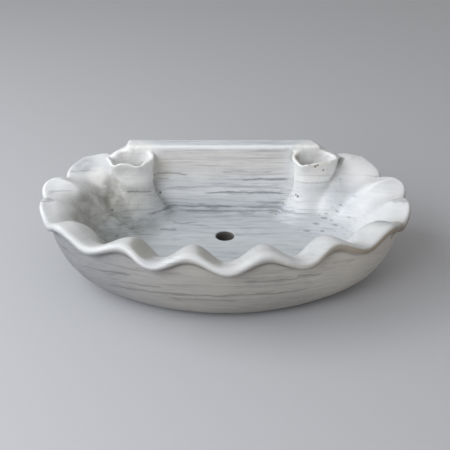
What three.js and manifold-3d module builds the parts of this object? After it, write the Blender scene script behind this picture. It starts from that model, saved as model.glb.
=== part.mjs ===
// Carved marble wash basin, one block of stone: a D-shaped bowl with a waved rim, a raised back
// ledge, two flared cup wells at the back corners and a bare round drain hole in the floor.
// Millimetres, +Z up, the waved front looks towards -Y, the flat back towards +Y.
import * as THREE from 'three';
import { mergeVertices, toCreasedNormals } from 'three/addons/utils/BufferGeometryUtils.js';
import Module from 'manifold-3d';

const wasm = await Module();
wasm.setup();

// Rim: an oval with waves on it. Each ridge leans inwards and up, each lobe outwards and down.
// The shares place every ridge and lobe against the oval, and lift the two big back lobes.
// The outline is drawn in at the notches, which sit on the ridges except behind the first and last
// one that show, where each big back lobe tucks in under its neighbour. At the two front corners the
// ridge's end stands out instead.
const rimHalfWidth = 292;
const rimHalfDepth = 222;
const rimHeight = 130;
const waveHeight = 8;
const bandThickness = 15.5;
const bandTopWidth = 10;
const bandTopSideWidth = 4.5;
const hullInset = 11;
const ridgeDegrees = [138, 170, 189, 213.5, 237.5, 259.3, 282.8, 305.5, 326.5, 351, 370.5, 402];
const troughDegrees = [160, 179.5, 201.3, 225.5, 248.4, 271, 294.2, 316, 338.7, 360.8, 380.5];
const notchDegrees = [138, 165.5, 185, 212, 237.5, 259.3, 282.8, 305.5, 328, 355.5, 375.5, 402];
const bulgeDegrees = [150, 174.5, 195, 225.5, 248.4, 271, 294.2, 316, 344, 366, 390];
const notchReachShares = [1.04, 0.955, 1, 1.03, 0.955, 0.95, 0.95, 0.96, 1.03, 0.992, 0.94, 1.02];
const bulgeReachShares = [1.03, 1.03, 1.022, 1.01, 1, 1, 0.995, 1.015, 1.025, 1.018, 1.01];
const ridgeLiftShares = [1, 0.8, 0.5, 1, 1, 1, 1, 1, 1, 0.5, 0.8, 1];
const troughDropShares = [0.9, 0.9, 1, 1, 1, 1, 1, 1, 1, 0.9, 0.8];

// Hull: an egg-shaped underside standing on a flat oval foot.
const hullTopBelowRim = 6;
const hullHeight = rimHeight - hullTopBelowRim;
const footHalfWidth = 185;
const footHalfDepth = 123.5;
const footShiftBack = -12;
const hullFullness = 0.9;

// Inside: a fluted shoulder, then the wall, then a floor that falls a little to the drain.
// The shoulder is broad at the front and narrow at the sides; the slope is longest at the back corners.
const insideReach = 117;
const reachStationDegrees = [90, 125, 150, 180, 215, 270, 325, 360, 390, 415, 450];
const reachShares = [1, 1.15, 1.35, 1.22, 1.08, 1, 1.08, 1.22, 1.35, 1.15, 1];
const floorHeight = 45;
const fluteDepth = 12;
const insideStationShares = [0, 0.15, 0.35, 0.5, 0.62, 0.75, 0.88, 1];
const frontHeightShares = [1, 0.955, 0.86, 0.72, 0.52, 0.26, 0.07, 0];
const sideHeightShares = [1, 0.96, 0.73, 0.38, 0.21, 0.11, 0.035, 0];
const fluteStationShares = [0, 0.2, 0.4, 0.6, 0.8, 1];
const frontFluteShares = [0.667, 0.9, 1, 0.8, 0.25, 0];
const sideFluteShares = [0.667, 0.75, 0.22, 0.03, 0, 0];

// Towards the sides the ridges turn into keen edges between petals and soon run out.
const besideFromShare = 0.72;
const besideFullShare = 0.94;
const keenFromShare = 0.1;

// The inside stays higher where the flat back cuts the two big lobes.
const cornerLift = 7;
const cornerLiftFrom = 60;

// Drain hole through the floor.
const drainDiameter = 30;
const drainBack = 9;
const drainFall = 2;
const drainChamfer = 1.5;

// Cup wells. The body stands on a wide foot, leans outwards as it rises and flares to the lip; on
// the side away from the bowl's middle it stays upright below the lip.
const ledgeHeight = 166;
const cupLipBelowLedge = 16;
const cupLipHeight = ledgeHeight - cupLipBelowLedge;
const cupLipHalfWidth = 38;
const cupLipHalfDepth = 25;
const cupLipRise = 10;
const cupLipWall = 5;
const cupRootHalfWidth = 28.3;
const cupBodyHalfWidth = 32.3;
const cupBodyHalfDepth = 20;
const cupFlareHeight = 24;
const cupFlarePower = 1.7;
const cupAwayFlarePower = 0.55;
const cupWellFlarePower = 1.4;
const cupAwayFadePower = 1.5;
const cupRootDepth = 5;
const cupBaseHeight = floorHeight - cupRootDepth;
const cupBaseFlare = 36;
const cupBaseFlareHeight = 66;
const cupBaseFlareLimitShare = 0.9;
const cupSideWall = 6.5;
const cupFrontWall = 3;
const cupWellDepth = 65;
const cupWellRound = 8;
const cupWellShiftBack = 2.6;
const leftCupAcross = -160.5;
const leftCupBodyLean = 6.7;
const leftCupRootLean = 10.7;
const leftCupAwayWidth = 4.7;
const rightCupAcross = 152;
const rightCupBodyLean = -2.4;
const rightCupRootLean = -7.4;
const rightCupAwayWidth = 1.7;

// The lips' crests, point by point: across and along as shares of the lip's half sizes, height over
// the lip's level as a share of its rise, and thickness as a share of the lip's wall.
const leftLipShares = [
  [-0.63, -0.88, -0.1, 0.7], [-0.86, -0.24, 0.1, 0.9], [-1, 0.28, 0.2, 0.9], [-0.92, 0.48, -0.25, 0.9],
  [-0.79, 0.6, 0.2, 1.2], [-0.63, 0.82, 0.55, 1.6], [-0.42, 1, 0.7, 1.6], [-0.2, 0.96, 1, 1.2],
  [0.07, 0.84, 0.7, 0.6], [0.32, 0.84, 0.85, 0.6], [0.62, 0.84, 0.85, 1], [0.87, 0.78, 0.7, 1.4],
  [1, 0.36, 0.35, 1.7], [0.92, -0.12, 0.2, 1.6], [0.75, -0.48, 0.2, 1], [0.59, -0.76, -0.05, 0.7],
  [0.37, -0.98, -0.1, 0.6], [0, -0.94, 0.4, 0.6], [-0.34, -0.94, 0.4, 0.6],
];
const rightLipShares = [
  [-0.97, 0.28, 0.25, 1.3], [-0.93, 0.52, 0.55, 1.3], [-0.83, 0.68, 0.9, 1.2], [-0.66, 0.8, 1.1, 1],
  [-0.41, 0.86, 1.15, 0.8], [-0.16, 0.82, 0.7, 0.6], [0.03, 0.86, 0.9, 0.8], [0.21, 0.9, 1, 1],
  [0.38, 0.88, 0.8, 1.2], [0.58, 0.78, 0.5, 1.2], [0.79, 0.62, 0.3, 1.2], [0.96, 0.32, 0.15, 1.2],
  [0.89, -0.04, 0.2, 1.2], [0.75, -0.34, 0.3, 1.1], [0.51, -0.66, 0.45, 1], [0.25, -0.84, 0.55, 1],
  [-0.04, -0.96, 0.55, 1], [-0.34, -1.02, 0.4, 1], [-0.61, -0.94, 0.05, 1], [-0.72, -0.68, -0.05, 1],
  [-0.86, -0.24, 0.05, 1.2],
];
const leftCup = {
  side: -1,
  across: leftCupAcross,
  bodyLean: leftCupBodyLean,
  rootLean: leftCupRootLean,
  awayWidth: leftCupAwayWidth,
  lip: lipStations(leftLipShares),
};
const rightCup = {
  side: 1,
  across: rightCupAcross,
  bodyLean: rightCupBodyLean,
  rootLean: rightCupRootLean,
  awayWidth: rightCupAwayWidth,
  lip: lipStations(rightLipShares),
};

// Stone heaped between each cup and the petal beside it. Per heap: across and along at its foot,
// across and along at its top, its top height and its half sizes, all as shares of the rim's sizes.
const heapShares = [
  [0.637, 0.333, 0.668, 0.446, 0.923, 0.205, 0.198],
  [-0.637, 0.333, -0.671, 0.428, 0.846, 0.185, 0.189],
  [0.736, 0.396, 0.726, 0.532, 1.062, 0.137, 0.171],
  [-0.733, 0.405, -0.743, 0.419, 0.9, 0.158, 0.198],
];
const heapInsideHull = 3;
const heapRowShares = [[0, 1], [0.38, 0.81], [0.6, 0.65], [0.75, 0.5], [0.86, 0.35], [0.95, 0.19], [1, 0.06]];

// The narrow gap between the right cup's lip and the big back lobe.
const gapPastLip = 6.5;
const gapFromBack = 23;
const gapDegrees = 61;
const gapHalfLength = 16;
const gapHalfWidth = 5;
const gapDepth = 42;
const gapRowShares = [[0, 0.25, 0.16], [0.11, 0.56, 0.44], [0.26, 0.75, 0.64], [0.42, 0.88, 0.8], [1, 1, 1]];

// Flat back of the block. The ledge, the wall under it and the cups are set off from it.
const backPlane = 125;
const cupFromBack = 46.4;
const cupBack = backPlane - cupFromBack;
const ledgeDepth = 27;
const ledgeRound = 6;
const wallFootDepth = 33;
const wallFilletRise = 23;
const wallFillet = 22;
const wallRootDepth = 15;
const ledgeEndPastLeftCup = 4;
const ledgeEndShortOfRightCup = 5;
const wallLeft = leftCupAcross - ledgeEndPastLeftCup;
const wallRight = rightCupAcross - ledgeEndShortOfRightCup;

// Thin plate along the back that carries the ledge's falling ends down behind the cups.
const plateDepth = 19;
const plateRound = 3;
const plateFall = 46;
const plateRunLeft = 40;
const plateRunRight = 59;
const leftRunShares = [0, 0.15, 0.425, 0.725, 0.9, 1];
const leftFallShares = [0, 0.24, 0.37, 0.52, 0.72, 1];
const rightRunShares = [0, 0.19, 0.44, 0.695, 0.9, 1];
const rightFallShares = [0, 0.13, 0.35, 0.5, 0.67, 1];

// The ledge's right end runs on over the cup and is cut slanting: shares of its reach and the ledge's depth.
const ledgeEndReach = 14;
const ledgeEndThickness = 22;
const ledgeEndShares = [[-0.86, 0], [-0.21, 0], [0.21, 0.15], [0.64, 0.44], [0.96, 0.78], [1, 1], [-0.86, 1]];

// Stone between each cup and the plate behind it: shares of its reach and of its fall below the lip.
const backingFromBack = 15;
const backingDepth = 17;
const backingFall = 14;
const backingStart = 4;
const leftBackingReach = 26;
const rightBackingReach = 40;
const backingTopShares = [[1, 1], [0.5, 0.14], [0.25, -0.3], [0, -0.3]];

// Tools run past the faces they cut by this much.
const overrun = 20;

// How finely the surfaces are laid out.
const frontStartDegrees = 142;
const frontEndDegrees = 398;
const frontColumns = 116;
const backColumns = 20;
const hullRows = 6;
const bandRows = 3;
const insideRows = 12;
const floorRows = 1;
const cupColumns = 36;
const heapColumns = 16;
const lipRows = 5;
const arcSteps = 4;

function clampShare(value) {
  return Math.min(1, Math.max(0, value));
}

function easedShare(value) {
  const u = clampShare(value);
  return u * u * (3 - 2 * u);
}

// Smooth curve through the given stations that never overshoots them.
function throughStations(stations, values, at) {
  const last = stations.length - 1;
  let i = 0;
  while (i < last - 1 && at > stations[i + 1]) i += 1;
  const slopes = values.slice(1).map((v, k) => (v - values[k]) / (stations[k + 1] - stations[k]));
  const tangent = (k) => {
    if (k === 0) return slopes[0];
    if (k === last) return 0;
    const before = slopes[k - 1];
    const after = slopes[k];
    return before * after <= 0 ? 0 : (2 * before * after) / (before + after);
  };
  const span = stations[i + 1] - stations[i];
  const u = clampShare((at - stations[i]) / span);
  const rise = values[i + 1] - values[i];
  const bend = u * (1 - u);
  const blend = u * u * (3 - 2 * u);
  return values[i] + rise * blend + span * bend * ((1 - u) * tangent(i) - u * tangent(i + 1));
}

// A wave round the rim: 1 at each high angle, 0 at the low angle between two of them.
function waveRound(turned, highs, lows) {
  if (turned <= highs[0] || turned >= highs[highs.length - 1]) return 1;
  let i = 0;
  while (turned > highs[i + 1]) i += 1;
  const high = turned < lows[i] ? highs[i] : highs[i + 1];
  return 0.5 + 0.5 * Math.cos((Math.PI * (turned - high)) / (lows[i] - high));
}

// One cut through the stone at one angle, from the foot's edge round the rim to the drain.
function basinSection(degrees) {
  const turned = degrees < 90 ? degrees + 360 : degrees;
  const angle = THREE.MathUtils.degToRad(degrees);
  const across = Math.cos(angle);
  const along = Math.sin(angle);
  const sideways = across * across;
  const ridge = waveRound(turned, ridgeDegrees, troughDegrees);
  const notch = waveRound(turned, notchDegrees, bulgeDegrees);
  const notchReach = throughStations(notchDegrees, notchReachShares, turned);
  const bulgeReach = throughStations(bulgeDegrees, bulgeReachShares, turned);
  const rise = throughStations(ridgeDegrees, ridgeLiftShares, turned);
  const drop = throughStations(troughDegrees, troughDropShares, turned);
  const lift = rise * ridge - drop * (1 - ridge);
  const keenRidge = 1 - Math.sqrt(1 - ridge);
  const keenLift = rise * keenRidge - drop * (1 - keenRidge);
  const beside = easedShare((sideways - besideFromShare) / (besideFullShare - besideFromShare));
  const bandTop = bandTopWidth + (bandTopSideWidth - bandTopWidth) * sideways ** 2;
  const oval = new THREE.Vector2(rimHalfWidth * across, rimHalfDepth * along);
  const outwards = new THREE.Vector2(rimHalfDepth * across, rimHalfWidth * along).normalize();
  const face = oval.clone().multiplyScalar(notchReach * notch + bulgeReach * (1 - notch));
  const mean = oval.clone().multiplyScalar((notchReach + bulgeReach) / 2);
  const raised = (p, z) => new THREE.Vector3(p.x, p.y, z);
  const section = [];

  const crest = rimHeight + waveHeight * lift;
  const hullTop = mean.clone().addScaledVector(outwards, -hullInset);
  const foot = new THREE.Vector2(footHalfWidth * across, footHalfDepth * along + footShiftBack);
  const topTurn = Math.acos(1 - (crest - bandThickness) / hullHeight);
  for (let i = 0; i <= hullRows; i += 1) {
    const turn = (topTurn * i) / hullRows;
    section.push(raised(foot.clone().lerp(hullTop, Math.sin(turn) ** hullFullness),
      hullHeight * (1 - Math.cos(turn))));
  }

  const bandMiddle = crest - bandThickness / 2;
  for (let i = 1; i <= bandRows; i += 1) {
    const turn = (Math.PI / 2) * (i / bandRows);
    section.push(raised(hullTop.clone().lerp(face, Math.sin(turn)),
      bandMiddle - (bandThickness / 2) * Math.cos(turn)));
  }
  for (let i = 1; i <= bandRows; i += 1) {
    const turn = (Math.PI / 2) * (i / bandRows);
    section.push(raised(face.clone().addScaledVector(outwards, -bandTop * (1 - Math.cos(turn))),
      bandMiddle + (bandThickness / 2) * Math.sin(turn)));
  }

  const start = face.clone().addScaledVector(outwards, -bandTop);
  const reach = insideReach * throughStations(reachStationDegrees, reachShares, turned);
  const end = mean.clone().addScaledVector(outwards, -reach);
  for (let i = 1; i <= insideRows; i += 1) {
    const t = i / insideRows;
    const fall = throughStations(insideStationShares, frontHeightShares, t) * (1 - sideways)
      + throughStations(insideStationShares, sideHeightShares, t) * sideways;
    const flute = throughStations(fluteStationShares, frontFluteShares, t) * (1 - beside)
      + throughStations(fluteStationShares, sideFluteShares, t) * beside;
    const wave = lift + (keenLift - lift) * beside * clampShare(t / keenFromShare);
    const p = start.clone().lerp(end, t);
    const corner = cornerLift * clampShare((p.y - cornerLiftFrom) / (backPlane - cornerLiftFrom));
    section.push(raised(p, floorHeight + (rimHeight - floorHeight) * fall
      + fluteDepth * flute * wave + corner * 4 * t * (1 - t)));
  }

  const drain = new THREE.Vector3(0, drainBack, floorHeight - drainFall);
  for (let i = 1; i <= floorRows; i += 1) {
    section.push(raised(end, floorHeight).lerp(drain, i / (floorRows + 1)));
  }
  return section;
}

// Closed body from rings of points, each end closed towards its own middle.
function ringSolid(rings) {
  const columns = rings[0].length;
  const positions = rings.flat().flatMap((p) => [p.x, p.y, p.z]);
  const index = [];
  for (let r = 0; r + 1 < rings.length; r += 1) {
    for (let c = 0; c < columns; c += 1) {
      const next = (c + 1) % columns;
      const a = r * columns + c;
      const b = r * columns + next;
      index.push(a, b, b + columns, a, b + columns, a + columns);
    }
  }
  const closeEnd = (r, flipped) => {
    const middle = rings[r].reduce((sum, p) => sum.add(p), new THREE.Vector3()).divideScalar(columns);
    const centre = positions.length / 3;
    positions.push(middle.x, middle.y, middle.z);
    for (let c = 0; c < columns; c += 1) {
      const a = r * columns + c;
      const b = r * columns + ((c + 1) % columns);
      if (flipped) index.push(centre, b, a);
      else index.push(centre, a, b);
    }
  };
  closeEnd(0, true);
  closeEnd(rings.length - 1, false);
  const geometry = new THREE.BufferGeometry();
  geometry.setAttribute('position', new THREE.Float32BufferAttribute(positions, 3));
  geometry.setIndex(index);
  return geometry;
}

function solidOf(geometry) {
  const bare = geometry.clone();
  bare.deleteAttribute('normal');
  bare.deleteAttribute('uv');
  const welded = mergeVertices(bare);
  return new wasm.Manifold(new wasm.Mesh({
    numProp: 3,
    vertProperties: new Float32Array(welded.attributes.position.array),
    triVerts: new Uint32Array(welded.index.array),
  }));
}

function bowlSections() {
  const sections = [];
  const frontSpan = frontEndDegrees - frontStartDegrees;
  for (let i = 0; i < frontColumns; i += 1) {
    sections.push(basinSection(frontStartDegrees + (frontSpan * i) / frontColumns));
  }
  const backSpan = 360 - frontSpan;
  for (let i = 0; i < backColumns; i += 1) {
    sections.push(basinSection((frontEndDegrees + (backSpan * i) / backColumns) % 360));
  }
  return sections;
}

function bowlBody(sections) {
  return ringSolid(sections[0].map((_, row) => sections.map((section) => section[row])));
}

// The hull's inside, filled and carried straight up past the rim, so that no heap comes out of it.
function hullFill(sections) {
  const rings = [];
  for (let row = 0; row <= hullRows; row += 1) {
    rings.push(sections.map((section) => {
      const { x, y, z } = section[row];
      const plan = new THREE.Vector2(x, y);
      plan.setLength(plan.length() - heapInsideHull);
      return new THREE.Vector3(plan.x, plan.y, z);
    }));
  }
  rings.push(rings[hullRows].map((p) => new THREE.Vector3(p.x, p.y, rimHeight + overrun)));
  return ringSolid(rings);
}

// The back wall's outline seen from the side: ledge, rounded edge, leaning wall, fillet to the floor.
function backWallBody() {
  const ledgeFront = backPlane - ledgeDepth;
  const wallFoot = backPlane - wallFootDepth;
  const toe = wallFoot - wallFillet;
  const toeHeight = floorHeight - drainFall;
  const outline = new THREE.Shape();
  outline.moveTo(backPlane + overrun, floorHeight - wallRootDepth);
  outline.lineTo(backPlane + overrun, ledgeHeight);
  outline.lineTo(ledgeFront + ledgeRound, ledgeHeight);
  outline.quadraticCurveTo(ledgeFront, ledgeHeight, ledgeFront, ledgeHeight - ledgeRound);
  outline.lineTo(wallFoot, floorHeight + wallFilletRise);
  outline.quadraticCurveTo(wallFoot, toeHeight, toe, toeHeight);
  outline.lineTo(toe, floorHeight - wallRootDepth);
  const body = new THREE.ExtrudeGeometry(outline, {
    depth: wallRight - wallLeft,
    bevelEnabled: false,
    curveSegments: arcSteps,
  });
  // The outline is drawn in Y and Z; the extrusion is turned to run along X.
  body.applyMatrix4(new THREE.Matrix4().makeBasis(
    new THREE.Vector3(0, 1, 0), new THREE.Vector3(0, 0, 1), new THREE.Vector3(1, 0, 0)));
  body.translate(wallLeft, 0, 0);
  return body;
}

// The plate behind the cups, its outline seen from the back.
function backPlateBody() {
  const outline = new THREE.Shape();
  const root = floorHeight - wallRootDepth;
  outline.moveTo(wallLeft, root);
  outline.lineTo(wallRight, root);
  for (let i = rightRunShares.length - 1; i >= 0; i -= 1) {
    const across = wallRight + plateRunRight * rightRunShares[i];
    outline.lineTo(across, ledgeHeight - plateFall * rightFallShares[i]);
  }
  leftRunShares.forEach((share, i) => {
    outline.lineTo(wallLeft - plateRunLeft * share, ledgeHeight - plateFall * leftFallShares[i]);
  });
  const body = new THREE.ExtrudeGeometry(outline, {
    depth: plateDepth + overrun,
    bevelEnabled: true,
    bevelSize: plateRound,
    bevelOffset: -plateRound,
    bevelThickness: plateRound,
    bevelSegments: 2,
  });
  // Drawn in X and Z, extruded towards +Y.
  body.applyMatrix4(new THREE.Matrix4().makeBasis(
    new THREE.Vector3(1, 0, 0), new THREE.Vector3(0, 0, 1), new THREE.Vector3(0, -1, 0)));
  body.translate(0, backPlane + overrun, 0);
  return body;
}

// A lip's points in order of turn, given one turn more on either side.
function lipStations(lipShares) {
  const rows = lipShares
    .map((shares) => ({ turn: Math.atan2(shares[1], shares[0]), shares }))
    .sort((a, b) => a.turn - b.turn);
  const whole = 2 * Math.PI;
  return [-whole, 0, whole].flatMap(
    (shift) => rows.map(({ turn, shares }) => ({ turn: turn + shift, shares })));
}

// The ring of a lip's inner (-1) or outer (1) edge.
function lipRing(cup, edge) {
  const turns = cup.lip.map(({ turn }) => turn);
  const ring = [];
  for (let i = 0; i < cupColumns; i += 1) {
    const turn = (2 * Math.PI * i) / cupColumns;
    const at = (k) => throughStations(turns, cup.lip.map(({ shares }) => shares[k]), turn);
    const outwards = new THREE.Vector2(Math.cos(turn) / cupLipHalfWidth, Math.sin(turn) / cupLipHalfDepth)
      .normalize().multiplyScalar((edge * cupLipWall * at(3)) / 2);
    ring.push(new THREE.Vector3(
      cup.across + cupLipHalfWidth * at(0) + outwards.x,
      cupBack + cupLipHalfDepth * at(1) + outwards.y,
      cupLipHeight + cupLipRise * at(2)));
  }
  return ring;
}

// How much each column of a cup's rings lies on the side away from the bowl's middle.
function awayShare(cup, column) {
  return clampShare(cup.side * Math.cos((2 * Math.PI * column) / cupColumns)) ** cupAwayFadePower;
}

// One level ring of a cup's body.
function cupRing(cup, height, halfWidth, halfDepth, awayWidth, shiftBack) {
  const rise = clampShare((height - (cupLipHeight - 2 * cupFlareHeight)) / cupFlareHeight);
  const middle = cup.across + cup.rootLean + (cup.bodyLean - cup.rootLean) * rise;
  const ring = [];
  for (let i = 0; i < cupColumns; i += 1) {
    const turn = (2 * Math.PI * i) / cupColumns;
    ring.push(new THREE.Vector3(
      middle + (halfWidth + awayWidth * awayShare(cup, i)) * Math.cos(turn),
      cupBack + shiftBack + halfDepth * Math.sin(turn),
      height));
  }
  return ring;
}

// The rings from a body's last ring to a lip's edge.
function flareRings(cup, body, rim, power, awayPower) {
  const rings = [];
  for (let i = 1; i <= lipRows; i += 1) {
    const t = i / lipRows;
    rings.push(body.map((p, column) => {
      const open = t ** (power + (awayPower - power) * awayShare(cup, column));
      const q = rim[column];
      return new THREE.Vector3(p.x + (q.x - p.x) * open, p.y + (q.y - p.y) * open, p.z + (q.z - p.z) * t);
    }));
  }
  return rings;
}

function cupBody(cup) {
  const rings = [];
  const bodyTop = cupLipHeight - cupFlareHeight;
  // The fillet at the foot stops where the flare of the lip begins.
  const filletTop = Math.min(cupBaseFlareHeight, (bodyTop - cupBaseHeight) * cupBaseFlareLimitShare);
  for (let i = 0; i <= arcSteps; i += 1) {
    const t = i / arcSteps;
    const spread = cupBaseFlare * (1 - t) ** 2;
    rings.push(cupRing(cup, cupBaseHeight + filletTop * t, cupRootHalfWidth + spread,
      cupBodyHalfDepth + spread, 0, 0));
  }
  const straight = bodyTop - cupBaseHeight - filletTop;
  for (let i = 1; i <= arcSteps; i += 1) {
    const t = i / arcSteps;
    rings.push(cupRing(cup, cupBaseHeight + filletTop + straight * t,
      cupRootHalfWidth + (cupBodyHalfWidth - cupRootHalfWidth) * t, cupBodyHalfDepth,
      cup.awayWidth * t, 0));
  }
  const body = rings[rings.length - 1];
  rings.push(...flareRings(cup, body, lipRing(cup, 1), cupFlarePower, cupAwayFlarePower));
  return ringSolid(rings);
}

function cupWell(cup) {
  const rings = [];
  const bottom = cupLipHeight - cupWellDepth;
  const roundTop = bottom + cupWellRound;
  const bodyTop = cupLipHeight - cupFlareHeight;
  const halfDepth = cupBodyHalfDepth - cupFrontWall;
  for (let i = 0; i <= arcSteps; i += 1) {
    const turn = (Math.PI / 2) * (i / arcSteps);
    const inset = cupWellRound * (1 - Math.sin(turn));
    rings.push(cupRing(cup, bottom + cupWellRound * (1 - Math.cos(turn)),
      cupRootHalfWidth - cupSideWall - inset, halfDepth - inset, 0, cupWellShiftBack));
  }
  for (let i = 1; i <= arcSteps; i += 1) {
    const t = i / arcSteps;
    rings.push(cupRing(cup, roundTop + (bodyTop - roundTop) * t,
      cupRootHalfWidth + (cupBodyHalfWidth - cupRootHalfWidth) * t - cupSideWall, halfDepth,
      0, cupWellShiftBack));
  }
  const body = rings[rings.length - 1];
  const rim = lipRing(cup, -1);
  rings.push(...flareRings(cup, body, rim, cupWellFlarePower, cupWellFlarePower));
  rings.push(rim.map((p) => new THREE.Vector3(p.x, p.y, p.z + overrun)));
  return ringSolid(rings);
}

// An oval ring, level, its long side turned by so many degrees.
function ovalRing(across, along, height, halfLength, halfWidth, degrees) {
  const ring = [];
  const middle = new THREE.Vector2();
  for (let i = 0; i < heapColumns; i += 1) {
    const turn = (2 * Math.PI * i) / heapColumns;
    const p = new THREE.Vector2(halfLength * Math.cos(turn), halfWidth * Math.sin(turn))
      .rotateAround(middle, THREE.MathUtils.degToRad(degrees));
    ring.push(new THREE.Vector3(across + p.x, along + p.y, height));
  }
  return ring;
}

function heapBody([footAcross, footAlong, topAcross, topAlong, top, halfWidth, halfDepth]) {
  return ringSolid(heapRowShares.map(([rise, spread]) => ovalRing(
    rimHalfWidth * (footAcross + (topAcross - footAcross) * rise),
    rimHalfDepth * (footAlong + (topAlong - footAlong) * rise),
    cupBaseHeight + (rimHeight * top - cupBaseHeight) * rise,
    rimHalfWidth * halfWidth * spread,
    rimHalfDepth * halfDepth * spread,
    0)));
}

function gapTool() {
  const across = rightCupAcross + cupLipHalfWidth + gapPastLip;
  return ringSolid(gapRowShares.map(([rise, length, width]) => ovalRing(
    across, backPlane - gapFromBack, cupLipHeight - gapDepth + (gapDepth + overrun) * rise,
    gapHalfLength * length, gapHalfWidth * width, gapDegrees)));
}

// The slanting right end of the ledge, drawn from above.
function ledgeEndBody() {
  const points = ledgeEndShares.map(([across, along]) => new THREE.Vector2(
    wallRight + ledgeEndReach * across, backPlane - ledgeDepth * along));
  const body = new THREE.ExtrudeGeometry(new THREE.Shape(points), {
    depth: ledgeEndThickness,
    bevelEnabled: false,
  });
  body.translate(0, 0, ledgeHeight - ledgeEndThickness);
  return body;
}

// Stone behind a cup, drawn in X and Z.
function backingBody(side, start, reach) {
  const root = floorHeight - wallRootDepth;
  const points = [new THREE.Vector2(start, root), new THREE.Vector2(start + side * reach, root)];
  backingTopShares.forEach(([run, fall]) => {
    points.push(new THREE.Vector2(start + side * reach * run, cupLipHeight - backingFall * fall));
  });
  const body = new THREE.ExtrudeGeometry(new THREE.Shape(points), {
    depth: backingDepth,
    bevelEnabled: false,
  });
  body.applyMatrix4(new THREE.Matrix4().makeBasis(
    new THREE.Vector3(1, 0, 0), new THREE.Vector3(0, 0, 1), new THREE.Vector3(0, -1, 0)));
  body.translate(0, backPlane - backingFromBack, 0);
  return body;
}

function drainTool() {
  const radius = drainDiameter / 2;
  const top = floorHeight - drainFall;
  const profile = [
    [0, -overrun], [radius, -overrun], [radius, top - drainChamfer],
    [radius + drainChamfer + overrun, top + overrun], [0, top + overrun],
  ].map(([x, y]) => new THREE.Vector2(x, y));
  const tool = new THREE.LatheGeometry(profile, cupColumns);
  tool.rotateX(Math.PI / 2);
  tool.translate(0, drainBack, 0);
  return tool;
}

function behindBackPlane() {
  const tool = new THREE.BoxGeometry(rimHalfWidth * 4, rimHalfDepth * 2, ledgeHeight * 4);
  tool.translate(0, backPlane + rimHalfDepth, 0);
  return tool;
}

const sections = bowlSections();
const withinHull = solidOf(hullFill(sections));
const heaps = heapShares.map((shares) => solidOf(heapBody(shares)).intersect(withinHull));
const joined = [
  bowlBody(sections),
  backWallBody(),
  backPlateBody(),
  ledgeEndBody(),
  backingBody(-1, wallLeft + backingStart, leftBackingReach),
  backingBody(1, wallRight - backingStart, rightBackingReach),
  cupBody(leftCup),
  cupBody(rightCup),
].map(solidOf).concat(heaps).reduce((whole, body) => whole.add(body));
const stone = [
  cupWell(leftCup),
  cupWell(rightCup),
  gapTool(),
  drainTool(),
  behindBackPlane(),
].map(solidOf).reduce((left, tool) => left.subtract(tool), joined);

const mesh = stone.getMesh();
let geometry = new THREE.BufferGeometry();
geometry.setAttribute('position', new THREE.Float32BufferAttribute(mesh.vertProperties, 3));
geometry.setIndex(Array.from(mesh.triVerts));
geometry.computeBoundingBox();
const box = geometry.boundingBox;
geometry.translate(-(box.min.x + box.max.x) / 2, -(box.min.y + box.max.y) / 2, -box.min.z);
geometry = toCreasedNormals(geometry, THREE.MathUtils.degToRad(35));

const marble = new THREE.MeshStandardMaterial({
  name: 'marble',
  color: 0xd9d9d6,
  roughness: 0.45,
  metalness: 0,
});
const basin = new THREE.Mesh(geometry, marble);
basin.name = 'basin';

const group = new THREE.Group();
group.name = 'wash_basin';
group.add(basin);
export default group;
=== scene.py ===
import math

import bmesh
import bpy
import numpy as np
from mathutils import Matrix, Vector


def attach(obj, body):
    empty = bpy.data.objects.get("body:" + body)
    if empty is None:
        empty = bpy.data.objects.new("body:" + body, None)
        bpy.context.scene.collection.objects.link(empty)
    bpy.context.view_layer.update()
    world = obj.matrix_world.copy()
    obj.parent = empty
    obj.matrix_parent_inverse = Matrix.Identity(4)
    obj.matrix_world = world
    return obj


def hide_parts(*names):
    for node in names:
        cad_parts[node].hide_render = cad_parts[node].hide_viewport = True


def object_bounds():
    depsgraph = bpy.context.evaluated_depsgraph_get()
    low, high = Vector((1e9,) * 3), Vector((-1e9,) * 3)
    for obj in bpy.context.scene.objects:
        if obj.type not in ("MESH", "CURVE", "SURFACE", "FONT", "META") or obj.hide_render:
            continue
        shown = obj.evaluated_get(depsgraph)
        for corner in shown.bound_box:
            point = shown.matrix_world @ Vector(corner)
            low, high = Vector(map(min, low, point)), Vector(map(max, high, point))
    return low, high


# Looks of a wash basin carved from one block of marble. Millimetres while the stone is shaped,
# measured from the middle of the rim's oval; metres in the row frame once it is placed.

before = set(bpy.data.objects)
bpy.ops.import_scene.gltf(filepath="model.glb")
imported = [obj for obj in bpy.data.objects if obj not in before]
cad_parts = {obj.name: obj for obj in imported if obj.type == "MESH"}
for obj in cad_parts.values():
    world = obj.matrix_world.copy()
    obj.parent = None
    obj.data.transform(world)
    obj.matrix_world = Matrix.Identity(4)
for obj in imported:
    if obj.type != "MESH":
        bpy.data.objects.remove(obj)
cad_low, cad_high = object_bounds()

# Where the rim's oval centre lies in the row frame.
OVAL_X = 1.823
OVAL_Y = 48.401

# Rim.
RIM_HALF_WIDTH = 292.0
RIM_HALF_DEPTH = 222.0
RIM_HEIGHT = 130.0
WAVE_HEIGHT = 8.0
BAND_THICKNESS = 15.5
BAND_TOP = 10.0
HULL_INSET = 11.0
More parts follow.
